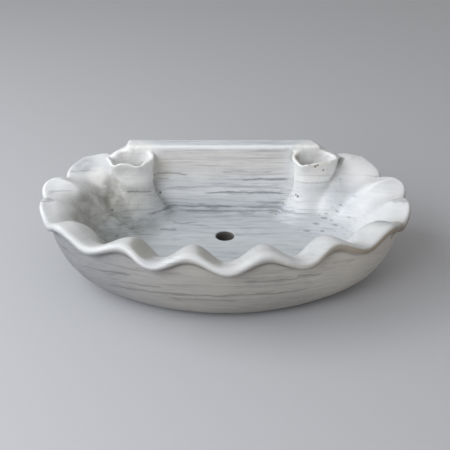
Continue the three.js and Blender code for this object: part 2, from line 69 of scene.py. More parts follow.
# How much narrower the band's top is at the sides.
BAND_TOP_LESS = 5.5
RIM_POINTS = 900
BAND_RINGS = 10
RIDGES = [138, 170, 189, 213.5, 237.5, 259.3, 282.8, 305.5, 326.5, 351, 370.5, 402]
TROUGHS = [160, 179.5, 201.3, 225.5, 248.4, 271, 294.2, 316, 338.7, 360.8, 380.5]
NOTCHES = [138, 165.5, 185, 212, 237.5, 259.3, 282.8, 305.5, 328, 355.5, 375.5, 402]
BULGES = [150, 174.5, 195, 225.5, 248.4, 271, 294.2, 316, 344, 366, 390]
NOTCH_REACH = [1.04, 0.955, 1, 1.03, 0.955, 0.95, 0.95, 0.96, 1.03, 0.992, 0.94, 1.02]
BULGE_REACH = [1.03, 1.03, 1.022, 1.01, 1, 1, 0.995, 1.015, 1.025, 1.018, 1.01]
RIDGE_LIFT = [1, 0.8, 0.5, 1, 1, 1, 1, 1, 1, 0.5, 0.8, 1]
TROUGH_DROP = [0.9, 0.9, 1, 1, 1, 1, 1, 1, 1, 0.9, 0.8]

# Hull.
HULL_HEIGHT = RIM_HEIGHT - 6.0
FOOT_HALF_WIDTH = 185.0
FOOT_HALF_DEPTH = 123.5
FOOT_SHIFT = -12.0
HULL_FULLNESS = 0.9
HULL_RINGS = 40
FILL_POINTS = 240
FILL_INSET = 3.0
FILL_RISE = 20.0

# Inside.
INSIDE_REACH = 117.0
REACH_AT = [90, 125, 150, 180, 215, 270, 325, 360, 390, 415, 450]
REACH = [1, 1.15, 1.35, 1.22, 1.08, 1, 1.08, 1.22, 1.35, 1.15, 1]
FLOOR = 45.0
FLUTE = 12.0
INSIDE_AT = [0, 0.15, 0.35, 0.5, 0.62, 0.75, 0.88, 1]
FRONT_FALL = [1, 0.955, 0.86, 0.72, 0.52, 0.26, 0.07, 0]
SIDE_FALL = [1, 0.96, 0.73, 0.38, 0.21, 0.11, 0.035, 0]
FLUTE_AT = [0, 0.2, 0.4, 0.6, 0.8, 1]
FRONT_FLUTE = [0.667, 0.9, 1, 0.8, 0.25, 0]
SIDE_FLUTE = [0.667, 0.75, 0.22, 0.03, 0, 0]
CORNER_LIFT = 7.0
CORNER_FROM = 60.0
BESIDE_FROM = 0.72
BESIDE_FULL = 0.94
KEEN_FULL = 0.1
INSIDE_RINGS = 71
FLOOR_RINGS = 24
FLOOR_CLOSED = 0.97
DRAIN_RADIUS = 15.0
DRAIN_BACK = 9.0
DRAIN_FALL = 2.0
DRAIN_POINTS = 96
# Rows of the drain's cutting tool: how much wider than the bore, and height over the floor's low point.
DRAIN_ROWS = [(0.0, -1.2), (0.5, -0.2), (1.4, 0.3), (24, 9)]

# Back.
BACK = 125.0
LEDGE_HEIGHT = 166.0
LEDGE_DEPTH = 27.0
LEDGE_ROUND = 6.0
WALL_FOOT = 33.0
WALL_FILLET_RISE = 23.0
WALL_FILLET = 22.0
WALL_ROOT = 15.0
WALL_LEFT = -164.5
WALL_RIGHT = 147.0
# Stone is carried this far past the back's plane and cut off there at the end.
PAST_BACK = 20.0

# The plate behind the cups lowers to both sides: shares of run and fall.
PLATE_DEPTH = 19.0
SLOPE_FALL = 46.0
LEFT_RUN = 40.0
RIGHT_RUN = 59.0
LEFT_SLOPE = [(0, 0), (0.15, 0.24), (0.425, 0.37), (0.725, 0.52), (0.9, 0.72), (1, 1)]
RIGHT_SLOPE = [(0, 0), (0.19, 0.13), (0.44, 0.35), (0.695, 0.5), (0.9, 0.67), (1, 1)]

# The ledge's right end over the cup, point by point: across, and how far in front of the back.
LEDGE_END_START = WALL_RIGHT - 12.0
LEDGE_END_THICKNESS = 22.0
LEDGE_END = [(144, 0), (150, 4), (156, 12), (160.5, 21), (161, LEDGE_DEPTH)]

# Cups: each lip's crest, point by point, as across, along, height and thickness.
LIP = LEDGE_HEIGHT - 16.0
BODY_TOP = LIP - 24.0
CUP_MIDDLE = 78.6
CUP_POINTS = 180
CUP_HALF_WIDTH = 28.3
CUP_HALF_DEPTH = 20.0
CUP_WIDER = 4.0
CUP_ROOT = 5.0
CUP_FOOT_RISE = 61.0
CUP_FOOT_SPREAD = 36.0
CUP_LEAN_FROM = 48.0
CUP_LEAN_OVER = 24.0
CUP_FLARE = 1.7
CUP_FLARE_AWAY = 0.55
LIP_WIDE = 38.0
LIP_DEEP = 25.0
WELL_DEPTH = 65.0
WELL_ROUND = 8.0
WELL_HALF_WIDTH = 21.8
WELL_HALF_DEPTH = 17.0
WELL_MIDDLE = CUP_MIDDLE + 2.6
WELL_FLARE = 1.4
WELL_OPEN = 14.0
LEFT_CUP = {"middle": -160.5, "top": -153.8, "low": -149.8, "away": -1, "wide": 37.0, "lip": [
    (-184.5, 56.5, 149, 3.5), (-193, 72.5, 151, 4.5), (-198.5, 85.5, 152, 4.5),
    (-195.5, 90.5, 147.5, 4.5), (-190.5, 93.5, 152, 6), (-184.5, 99, 155.5, 8),
    (-176.5, 103.5, 157, 8), (-168, 102.5, 160, 6), (-158, 99.5, 157, 3),
    (-148.5, 99.5, 158.5, 3), (-137, 99.5, 158.5, 5), (-127.5, 98, 157, 7),
    (-122.5, 87.5, 153.5, 8.5), (-125.5, 75.5, 152, 8), (-132, 66.5, 152, 5),
    (-138, 59.5, 149.5, 3.5), (-146.5, 54, 149, 3), (-160.5, 55, 154, 3), (-173.5, 55, 154, 3)]}
RIGHT_CUP = {"middle": 152.0, "top": 149.6, "low": 144.6, "away": 1, "wide": 34.0, "lip": [
    (115, 85.5, 152.5, 6.5), (116.5, 91.5, 155.5, 6.5), (120.5, 95.5, 159, 6), (127, 98.5, 161, 5),
    (136.5, 100, 161.5, 4), (146, 99, 157, 3), (153, 100, 159, 4), (160, 101, 160, 5),
    (166.5, 100.5, 158, 6), (174, 98, 155, 6), (182, 94, 153, 6), (188.5, 86.5, 151.5, 6),
    (186, 77.5, 152, 6), (180.5, 70, 153, 5.5), (171.5, 62, 154.5, 5), (161.5, 57.5, 155.5, 5),
    (150.5, 54.5, 155.5, 5), (139, 53, 154, 5), (129, 55, 150.5, 5), (124.5, 61.5, 149.5, 5),
    (119.5, 72.5, 150.5, 6)]}

# Stone between each cup and the plate: reach sideways, and its height against the lip.
BACKING_OVERLAP = 4.0
LEFT_BACKING = 26.0
RIGHT_BACKING = 40.0
BACKING_FRONT = 32.0
BACKING_REAR = 15.0
BACKING_TOP = [(1, -14), (0.5, -2), (0, 2)]

# Stone heaped beside the cups, row by row: height, middle across and along, half width and half depth.
MOUND_POINTS = 64
RIGHT_MOUND = [(40, 186, 74, 60, 44), (70, 186, 76, 48, 36), (88, 187, 80, 38, 29),
               (100, 189, 85, 29, 23), (109, 191, 90, 20, 17), (116, 193, 95, 11, 11), (120, 195, 99, 3, 4)]
RIGHT_SHOULDER = [(60, 215, 88, 40, 38), (100, 215, 98, 27, 30), (118, 214, 107, 20, 20),
                  (130, 213, 113, 15, 13), (138, 212, 118, 8, 7)]
LEFT_SPUR = [(60, -214, 90, 46, 44), (94, -215, 90, 36, 34), (104, -216, 91, 27, 25),
             (111, -217, 92, 17, 16), (115, -217, 93, 7, 7)]
LEFT_MOUND = [(40, -186, 74, 54, 42), (70, -187, 76, 43, 33), (86, -189, 80, 33, 26),
              (97, -191, 86, 23, 19), (105, -194, 91, 14, 12), (110, -196, 95, 4, 4)]

# The narrow gap between the right cup's lip and the big petal: height, half length and half width.
GAP_X = 196.5
GAP_Y = 102.0
GAP_DEGREES = 61
GAP_POINTS = 48
GAP_ROWS = [(118, 3, 0.6), (124, 7, 1.7), (131, 10, 2.6), (140, 12, 3.4), (156, 14, 4.2)]

# How the stone is made even and worn: points apart, rounds of smoothing, and how fast hollows fill and
# edges wear in one round, with less wear at the drain.
VOXEL = 1.6
SMOOTH_ROUNDS = 60
HOLLOW_RATE = 0.5
EDGE_RATE = 0.06
DRAIN_RATE = 0.04


def through(stations, values, at):
    """Smooth curve through the stations that never overshoots them."""
    x = np.asarray(stations, float)
    y = np.asarray(values, float)
    at = np.asarray(at, float)
    slope = np.diff(y) / np.diff(x)
    tangent = np.zeros(len(x))
    tangent[0] = slope[0]
    for k in range(1, len(x) - 1):
        a, b = slope[k - 1], slope[k]
        tangent[k] = 0.0 if a * b <= 0 else 2 * a * b / (a + b)
    i = np.clip(np.searchsorted(x, at, side="left") - 1, 0, len(x) - 2)
    span = x[i + 1] - x[i]
    u = np.clip((at - x[i]) / span, 0, 1)
    blend = u * u * (3 - 2 * u)
    bend = u * (1 - u)
    return y[i] + (y[i + 1] - y[i]) * blend + span * bend * ((1 - u) * tangent[i] - u * tangent[i + 1])


def wave_round(turned, highs, lows):
    """1 at each high angle, 0 at the low angle between two of them."""
    highs = np.asarray(highs, float)
    lows = np.asarray(lows, float)
    i = np.clip(np.searchsorted(highs, turned, side="left") - 1, 0, len(lows) - 1)
    high = np.where(turned < lows[i], highs[i], highs[i + 1])
    wave = 0.5 + 0.5 * np.cos(np.pi * (turned - high) / (lows[i] - high))
    return np.where((turned <= highs[0]) | (turned >= highs[-1]), 1.0, wave)


def mesh_object(name, points, faces):
    mesh = bpy.data.meshes.new(name)
    mesh.from_pydata([tuple(p) for p in points], [], faces)
    mesh.update()
    obj = bpy.data.objects.new(name, mesh)
    bpy.context.scene.collection.objects.link(obj)
    return obj


def ring_body(name, rings):
    """Closed body from rings of points, each end closed towards its own middle."""
    rings = [np.asarray(r, float) for r in rings]
    n = len(rings[0])
    points = np.concatenate(rings)
    faces = []
    for r in range(len(rings) - 1):
        for c in range(n):
            d = (c + 1) % n
            a, b = r * n + c, r * n + d
            faces.append((a, b, b + n, a + n))
    first = len(points)
    points = np.vstack([points, rings[0].mean(0), rings[-1].mean(0)])
    last = (len(rings) - 1) * n
    for c in range(n):
        d = (c + 1) % n
        faces.append((first, d, c))
        faces.append((first + 1, last + c, last + d))
    return mesh_object(name, points, faces)


def rim_at(turned):
    """The rim at each angle: its face line, the mean line, crest height, the hull's top line under it,
    the way out, the wave as it is along the rim, and the keener wave of the petals' inner edges."""
    angle = np.radians(turned)
    across, along = np.cos(angle), np.sin(angle)
    ridge = wave_round(turned, RIDGES, TROUGHS)
    notch = wave_round(turned, NOTCHES, BULGES)
    notch_reach = through(NOTCHES, NOTCH_REACH, turned)
    bulge_reach = through(BULGES, BULGE_REACH, turned)
    high, low = through(RIDGES, RIDGE_LIFT, turned), through(TROUGHS, TROUGH_DROP, turned)
    lift = high * ridge - low * (1 - ridge)
    keen = 1 - np.sqrt(1 - ridge)
    keen = high * keen - low * (1 - keen)
    oval = np.stack([RIM_HALF_WIDTH * across, RIM_HALF_DEPTH * along], 1)
    outwards = np.stack([RIM_HALF_DEPTH * across, RIM_HALF_WIDTH * along], 1)
    outwards /= np.linalg.norm(outwards, axis=1)[:, None]
    face = oval * (notch_reach * notch + bulge_reach * (1 - notch))[:, None]
    mean = oval * ((notch_reach + bulge_reach) / 2)[:, None]
    crest = RIM_HEIGHT + WAVE_HEIGHT * lift
    hull_top = mean - HULL_INSET * outwards
    return face, mean, crest, hull_top, outwards, lift, keen


def raised(p, z):
    return np.column_stack([p, np.broadcast_to(z, len(p))])


def rim_turns(points):
    """Angles round the rim, in degrees, from the middle of the back and round."""
    return np.linspace(90, 450, points + 1)[:-1]


def foot_line(angle):
    return np.stack([FOOT_HALF_WIDTH * np.cos(angle), FOOT_HALF_DEPTH * np.sin(angle) + FOOT_SHIFT], 1)


def hull_rings(foot, hull_top, crest):
    """Rings of the underside, from the flat foot up to the rim's band."""
    rings = []
    top_turn = np.arccos(1 - (crest - BAND_THICKNESS) / HULL_HEIGHT)
    for t in np.linspace(0, 1, HULL_RINGS):
        turn = top_turn * t
        share = (np.sin(turn) ** HULL_FULLNESS)[:, None]
        rings.append(raised(foot + (hull_top - foot) * share, HULL_HEIGHT * (1 - np.cos(turn))))
    return rings


def hull_fill():
    """The hull's inside, filled and carried straight up, so that no heap of stone comes out of it."""
    turned = rim_turns(FILL_POINTS)
    crest, hull_top = rim_at(turned)[2:4]
    rings = hull_rings(foot_line(np.radians(turned)), hull_top, crest)
    for ring in rings:
        ring[:, :2] *= 1 - FILL_INSET / np.linalg.norm(ring[:, :2], axis=1)[:, None]
    rings.append(rings[-1] * [1, 1, 0] + [0, 0, RIM_HEIGHT + FILL_RISE])
    return ring_body("fill", rings)


def bowl():
    """The basin without its back: hull, the rim's rounded band, the fluted inside and the floor."""
    turned = rim_turns(RIM_POINTS)
    angle = np.radians(turned)
    sideways = np.cos(angle) ** 2
    face, mean, crest, hull_top, outwards, lift, keen = rim_at(turned)
    beside = ramp(sideways, BESIDE_FROM, BESIDE_FULL)
    band_top = (BAND_TOP - BAND_TOP_LESS * sideways ** 2)[:, None]

    rings = hull_rings(foot_line(angle), hull_top, crest)
    middle = crest - BAND_THICKNESS / 2
    for turn in np.linspace(0, math.pi / 2, BAND_RINGS)[1:]:
        rings.append(raised(hull_top + (face - hull_top) * math.sin(turn),
                            middle - BAND_THICKNESS / 2 * math.cos(turn)))
    for turn in np.linspace(0, math.pi / 2, BAND_RINGS)[1:]:
        rings.append(raised(face - outwards * band_top * (1 - math.cos(turn)),
                            middle + BAND_THICKNESS / 2 * math.sin(turn)))
    start = face - outwards * band_top
    end = mean - outwards * (INSIDE_REACH * through(REACH_AT, REACH, turned))[:, None]
    for t in np.linspace(0, 1, INSIDE_RINGS)[1:]:
        fall = (through(INSIDE_AT, FRONT_FALL, t) * (1 - sideways)
                + through(INSIDE_AT, SIDE_FALL, t) * sideways)
        flute = (through(FLUTE_AT, FRONT_FLUTE, t) * (1 - beside)
                 + through(FLUTE_AT, SIDE_FLUTE, t) * beside)
        p = start + (end - start) * t
        corner = CORNER_LIFT * np.clip((p[:, 1] - CORNER_FROM) / (BACK - CORNER_FROM), 0, 1)
        wave = lift + (keen - lift) * beside * min(1, t / KEEN_FULL)
        height = FLOOR + (RIM_HEIGHT - FLOOR) * fall + FLUTE * flute * wave + corner * 4 * t * (1 - t)
        rings.append(raised(p, height))
    drain = np.array([0, DRAIN_BACK, FLOOR - DRAIN_FALL])
    edge = raised(end, FLOOR)
    for t in np.linspace(0, FLOOR_CLOSED, FLOOR_RINGS)[1:]:
        rings.append(edge + (drain - edge) * t)
    return ring_body("bowl", rings)


def prism(name, outline, low, high, axis):
    """Closed body from an outline swept along X (axis 0), Y (axis 1) or Z (axis 2)."""
    n = len(outline)
    points = []
    for level in (low, high):
        for a, b in outline:
            points.append([(level, a, b), (a, level, b), (a, b, level)][axis])
    faces = [tuple(range(n)), tuple(reversed(range(n, 2 * n)))]
    for i in range(n):
        j = (i + 1) % n
        faces.append((i, i + n, j + n, j))
    obj = mesh_object(name, points, faces)
    face_out(obj)
    return obj


def face_out(obj):
    work = bmesh.new()
    work.from_mesh(obj.data)
    bmesh.ops.recalc_face_normals(work, faces=work.faces[:])
    work.to_mesh(obj.data)
    work.free()


def quad_arc(a, control, b, steps=10):
    """Points of a rounded corner from a to b."""
    a, control, b = np.array(a), np.array(control), np.array(b)
    return [tuple((1 - t) ** 2 * a + 2 * t * (1 - t) * control + t * t * b)
            for t in np.linspace(0, 1, steps + 1)]


def back_wall():
    """Wall and ledge: the ledge's rounded front edge, and a long fillet from the wall into the floor."""
    ledge_front = BACK - LEDGE_DEPTH
    foot = BACK - WALL_FOOT
    toe = foot - WALL_FILLET
    low = FLOOR - DRAIN_FALL
    root = FLOOR - WALL_ROOT
    outline = [(BACK + PAST_BACK, root), (BACK + PAST_BACK, LEDGE_HEIGHT)]
    outline += quad_arc((ledge_front + LEDGE_ROUND, LEDGE_HEIGHT), (ledge_front, LEDGE_HEIGHT),
                        (ledge_front, LEDGE_HEIGHT - LEDGE_ROUND))
    outline += quad_arc((foot, FLOOR + WALL_FILLET_RISE), (foot, low), (toe, low))
    outline += [(toe, root)]
    return prism("back_wall", outline, WALL_LEFT, WALL_RIGHT, 0)


def back_plate():
    """The flat back behind the cups, lower towards both sides."""
    root = FLOOR - WALL_ROOT
    outline = [(WALL_LEFT, root), (WALL_RIGHT, root)]
    outline += [(WALL_RIGHT + RIGHT_RUN * run, LEDGE_HEIGHT - SLOPE_FALL * fall)
                for run, fall in reversed(RIGHT_SLOPE)]
    outline += [(WALL_LEFT - LEFT_RUN * run, LEDGE_HEIGHT - SLOPE_FALL * fall) for run, fall in LEFT_SLOPE]
    return prism("back_plate", outline, BACK - PLATE_DEPTH, BACK + PAST_BACK, 1)


def oval_ring(x, y, z, half_width, half_depth, points):
    """A level ring of points."""
    turn = np.linspace(0, 2 * math.pi, points, endpoint=False)
    return np.column_stack([x + half_width * np.cos(turn), y + half_depth * np.sin(turn),
                            np.full(points, float(z))])


def cup_oval(cup, height, half_width, half_depth, along=CUP_MIDDLE):
    """A level ring of a cup's body, which leans a little as it rises."""
    rise = min(1, max(0, (height - (LIP - CUP_LEAN_FROM)) / CUP_LEAN_OVER))
    middle = cup["low"] + (cup["top"] - cup["low"]) * rise
    return oval_ring(middle, along, height, half_width, half_depth, CUP_POINTS)


def lip_crest(cup):
    """The lip's crest at even steps of turn, the direction out of the cup, and the lip's thickness."""
    table = np.array(cup["lip"], float)
    at = np.arctan2((table[:, 1] - CUP_MIDDLE) / LIP_DEEP, (table[:, 0] - cup["middle"]) / LIP_WIDE)
    order = np.argsort(at)
    at, table = at[order], table[order]
    whole = 2 * math.pi
    at = np.concatenate([at - whole, at, at + whole])
    table = np.vstack([table, table, table])
    turn = np.linspace(0, whole, CUP_POINTS, endpoint=False)
    x, y, z, thick = (through(at, table[:, k], turn) for k in range(4))
    outwards = np.column_stack([np.cos(turn) / LIP_WIDE, np.sin(turn) / LIP_DEEP])
    outwards /= np.linalg.norm(outwards, axis=1)[:, None]
    return np.column_stack([x, y, z]), outwards, thick


def cup_outside(cup):
    """A cup's outside, wide at its foot; the side away from the bowl's middle is upright below the lip."""
    rings = []
    base, fillet_top = FLOOR - CUP_ROOT, FLOOR + CUP_FOOT_RISE
    turn = np.linspace(0, 2 * math.pi, CUP_POINTS, endpoint=False)
    away = np.clip(cup["away"] * np.cos(turn), 0, 1) ** 1.5
    for t in np.linspace(0, 1, 24):
        spread = CUP_FOOT_SPREAD * (1 - t) ** 2
        rings.append(cup_oval(cup, base + (fillet_top - base) * t, CUP_HALF_WIDTH + spread,
                              CUP_HALF_DEPTH + spread))
    for t in np.linspace(0, 1, 8)[1:]:
        wider = cup["wide"] - CUP_HALF_WIDTH - CUP_WIDER
        half_width = CUP_HALF_WIDTH + CUP_WIDER * t + wider * t * away
        rings.append(cup_oval(cup, fillet_top + (BODY_TOP - fillet_top) * t, half_width, CUP_HALF_DEPTH))
    body = rings[-1]
    crest, outwards, thick = lip_crest(cup)
    rim = crest.copy()
    rim[:, :2] += outwards * thick[:, None] / 2
    flare = CUP_FLARE + (CUP_FLARE_AWAY - CUP_FLARE) * away
    for t in np.linspace(0, 1, 16)[1:]:
        share = np.column_stack([t ** flare, t ** flare, np.full(CUP_POINTS, t)])
        rings.append(body + (rim - body) * share)
    return ring_body("cup", rings)


def mound(rows):
    """Stone heaped between a cup and the petal beside it, kept inside the hull."""
    body = ring_body("mound", [oval_ring(x, y, z, half_width, half_depth, MOUND_POINTS)
                               for z, x, y, half_width, half_depth in rows])
    combined(body, hull_fill(), "INTERSECT")
    return body


def cup_inside(cup):
    """The tool that hollows a cup: round bottom, nearly upright walls, a mouth that follows the lip."""
    rings = []
    bottom = LIP - WELL_DEPTH
    for t in np.linspace(0, 1, 8):
        turn = math.pi / 2 * t
        inset = WELL_ROUND * (1 - math.sin(turn))
        rings.append(cup_oval(cup, bottom + WELL_ROUND * (1 - math.cos(turn)), WELL_HALF_WIDTH - inset,
                              WELL_HALF_DEPTH - inset, WELL_MIDDLE))
    for t in np.linspace(0, 1, 8)[1:]:
        rings.append(cup_oval(cup, bottom + WELL_ROUND + (BODY_TOP - bottom - WELL_ROUND) * t,
                              WELL_HALF_WIDTH + 4 * t, WELL_HALF_DEPTH + 0.5 * t, WELL_MIDDLE))
    body = rings[-1]
    crest, outwards, thick = lip_crest(cup)
    rim = crest.copy()
    rim[:, :2] -= outwards * thick[:, None] / 2
    for t in np.linspace(0, 1, 16)[1:]:
        rings.append(body + (rim - body) * [t ** WELL_FLARE, t ** WELL_FLARE, t])
    rings.append(rim + [0, 0, WELL_OPEN])
    return ring_body("well", rings)


def drain_tool():
    """The tool for the drain hole: a straight bore whose edge is eased into the floor."""
    top = FLOOR - DRAIN_FALL
    rings = [oval_ring(0, DRAIN_BACK, -20, DRAIN_RADIUS, DRAIN_RADIUS, DRAIN_POINTS)]
    for wider, rise in DRAIN_ROWS:
        radius = DRAIN_RADIUS + wider
        rings.append(oval_ring(0, DRAIN_BACK, top + rise, radius, radius, DRAIN_POINTS))
    return ring_body("drain", rings)


def ledge_end():
    """The ledge's right end runs on over the cup and is cut slanting."""
    outline = [(LEDGE_END_START, BACK)]
    outline += [(x, BACK - front) for x, front in LEDGE_END]
    outline += [(LEDGE_END_START, BACK - LEDGE_DEPTH)]
    return prism("ledge_end", outline, LEDGE_HEIGHT - LEDGE_END_THICKNESS, LEDGE_HEIGHT, 2)


def cup_backing(side, start, reach):
    """Stone between a cup and the plate behind it."""
    root = FLOOR - WALL_ROOT
    outline = [(start, root), (start + side * reach, root)]
    outline += [(start + side * reach * run, LIP + rise) for run, rise in BACKING_TOP]
    return prism("backing", outline, BACK - BACKING_FRONT, BACK - BACKING_REAR, 1)


def crevice():
    """The tool for the gap beside the right cup."""
    rings = []
    turn = np.linspace(0, 2 * math.pi, GAP_POINTS, endpoint=False)
    along, across = math.radians(GAP_DEGREES), math.radians(GAP_DEGREES - 90)
    for z, half_length, half_width in GAP_ROWS:
        a = half_length * np.cos(turn)
        b = half_width * np.sin(turn)
        rings.append(np.column_stack([GAP_X + a * math.cos(along) + b * math.cos(across),
                                      GAP_Y + a * math.sin(along) + b * math.sin(across),
                                      np.full(GAP_POINTS, float(z))]))
    return ring_body("crevice", rings)


def behind_back():
    """Everything behind the back's plane, to be cut off."""
    outline = [(-500, -300), (500, -300), (500, 400), (-500, 400)]
    return prism("behind", outline, BACK, BACK + 300, 1)


def combined(target, tool, operation):
    mod = target.modifiers.new("join", "BOOLEAN")
    mod.operation = operation
    mod.solver = "MANIFOLD"
    mod.object = tool
    settle(target)
    bpy.data.objects.remove(tool)


def settle(obj):
    """Turns an object's modifiers into its mesh."""
    deps = bpy.context.evaluated_depsgraph_get()
    mesh = bpy.data.meshes.new_from_object(obj.evaluated_get(deps))
    obj.modifiers.clear()
    old = obj.data
    obj.data = mesh
    bpy.data.meshes.remove(old)


def vectors(items, key):
    """Coordinates of a mesh's points, or its normals, one row each."""
    flat = np.empty(len(items) * 3, np.float32)
    items.foreach_get(key, flat)
    return flat.reshape(-1, 3).astype(float)


def put(mesh, points):
    mesh.vertices.foreach_set("co", points.astype(np.float32).ravel())
    mesh.update()


class Noise:
    """Smooth random lattice noise, about -1 to 1, from a seed."""

    def __init__(self, seed, size=64):
        self.size = size
        self.grid = np.random.default_rng(seed).uniform(-1, 1, (size, size, size))

    def at(self, p):
        base = np.floor(p).astype(int)
        f = p - base
        f = f * f * (3 - 2 * f)
        total = np.zeros(len(p))
        for dx in (0, 1):
            for dy in (0, 1):
                for dz in (0, 1):
                    w = (np.abs(1 - dx - f[:, 0]) * np.abs(1 - dy - f[:, 1]) * np.abs(1 - dz - f[:, 2]))
                    i = (base + [dx, dy, dz]) % self.size
                    total += w * self.grid[i[:, 0], i[:, 1], i[:, 2]]
        return total


# Small pits and chips: where (row frame, mm), radius and depth.
PITS = [(-110.2, 141.2, 80.0, 2.4, 0.9), (121.5, 113.4, 89.6, 2.0, 1.2),
        (126.0, 112.2, 87.4, 2.6, 1.8), (150.8, 100.5, 146.5, 2.8, 1.6),
        (166.3, 104.7, 140.5, 2.2, 1.2), (155.5, 101.5, 150.0, 2.0, 1.0),
        (-188.3, 92.6, 72.2, 1.6, 0.9), (251.3, -47.7, 104.5, 2.4, 1.4)]

# Unevenness left by hand carving: seed, size in mm and shift of each layer of noise, broad to rough.
UNEVEN_LAYERS = [(3, 46.0, 11), (4, 17.0, 7), (5, 7.0, 3), (6, 4.2, 5)]


def ramp(value, low, high):
    """0 at low, 1 at high, with a soft start and end; low may be the larger one."""
    t = np.clip((value - low) / (high - low), 0, 1)
    return t * t * (3 - 2 * t)


def assembled():
    """Every form joined into one body of stone."""
    stone = bowl()
    backs = (back_wall(), back_plate(), ledge_end(),
             cup_backing(-1, WALL_LEFT + BACKING_OVERLAP, LEFT_BACKING),
             cup_backing(1, WALL_RIGHT - BACKING_OVERLAP, RIGHT_BACKING))
    for part in backs:
        combined(stone, part, "UNION")
    for part in (cup_outside(LEFT_CUP), cup_outside(RIGHT_CUP), mound(LEFT_MOUND), mound(RIGHT_MOUND),
                 mound(RIGHT_SHOULDER), mound(LEFT_SPUR)):
        combined(stone, part, "UNION")
    for tool in (cup_inside(LEFT_CUP), cup_inside(RIGHT_CUP), crevice(), drain_tool(), behind_back()):
        combined(stone, tool, "DIFFERENCE")
    return stone


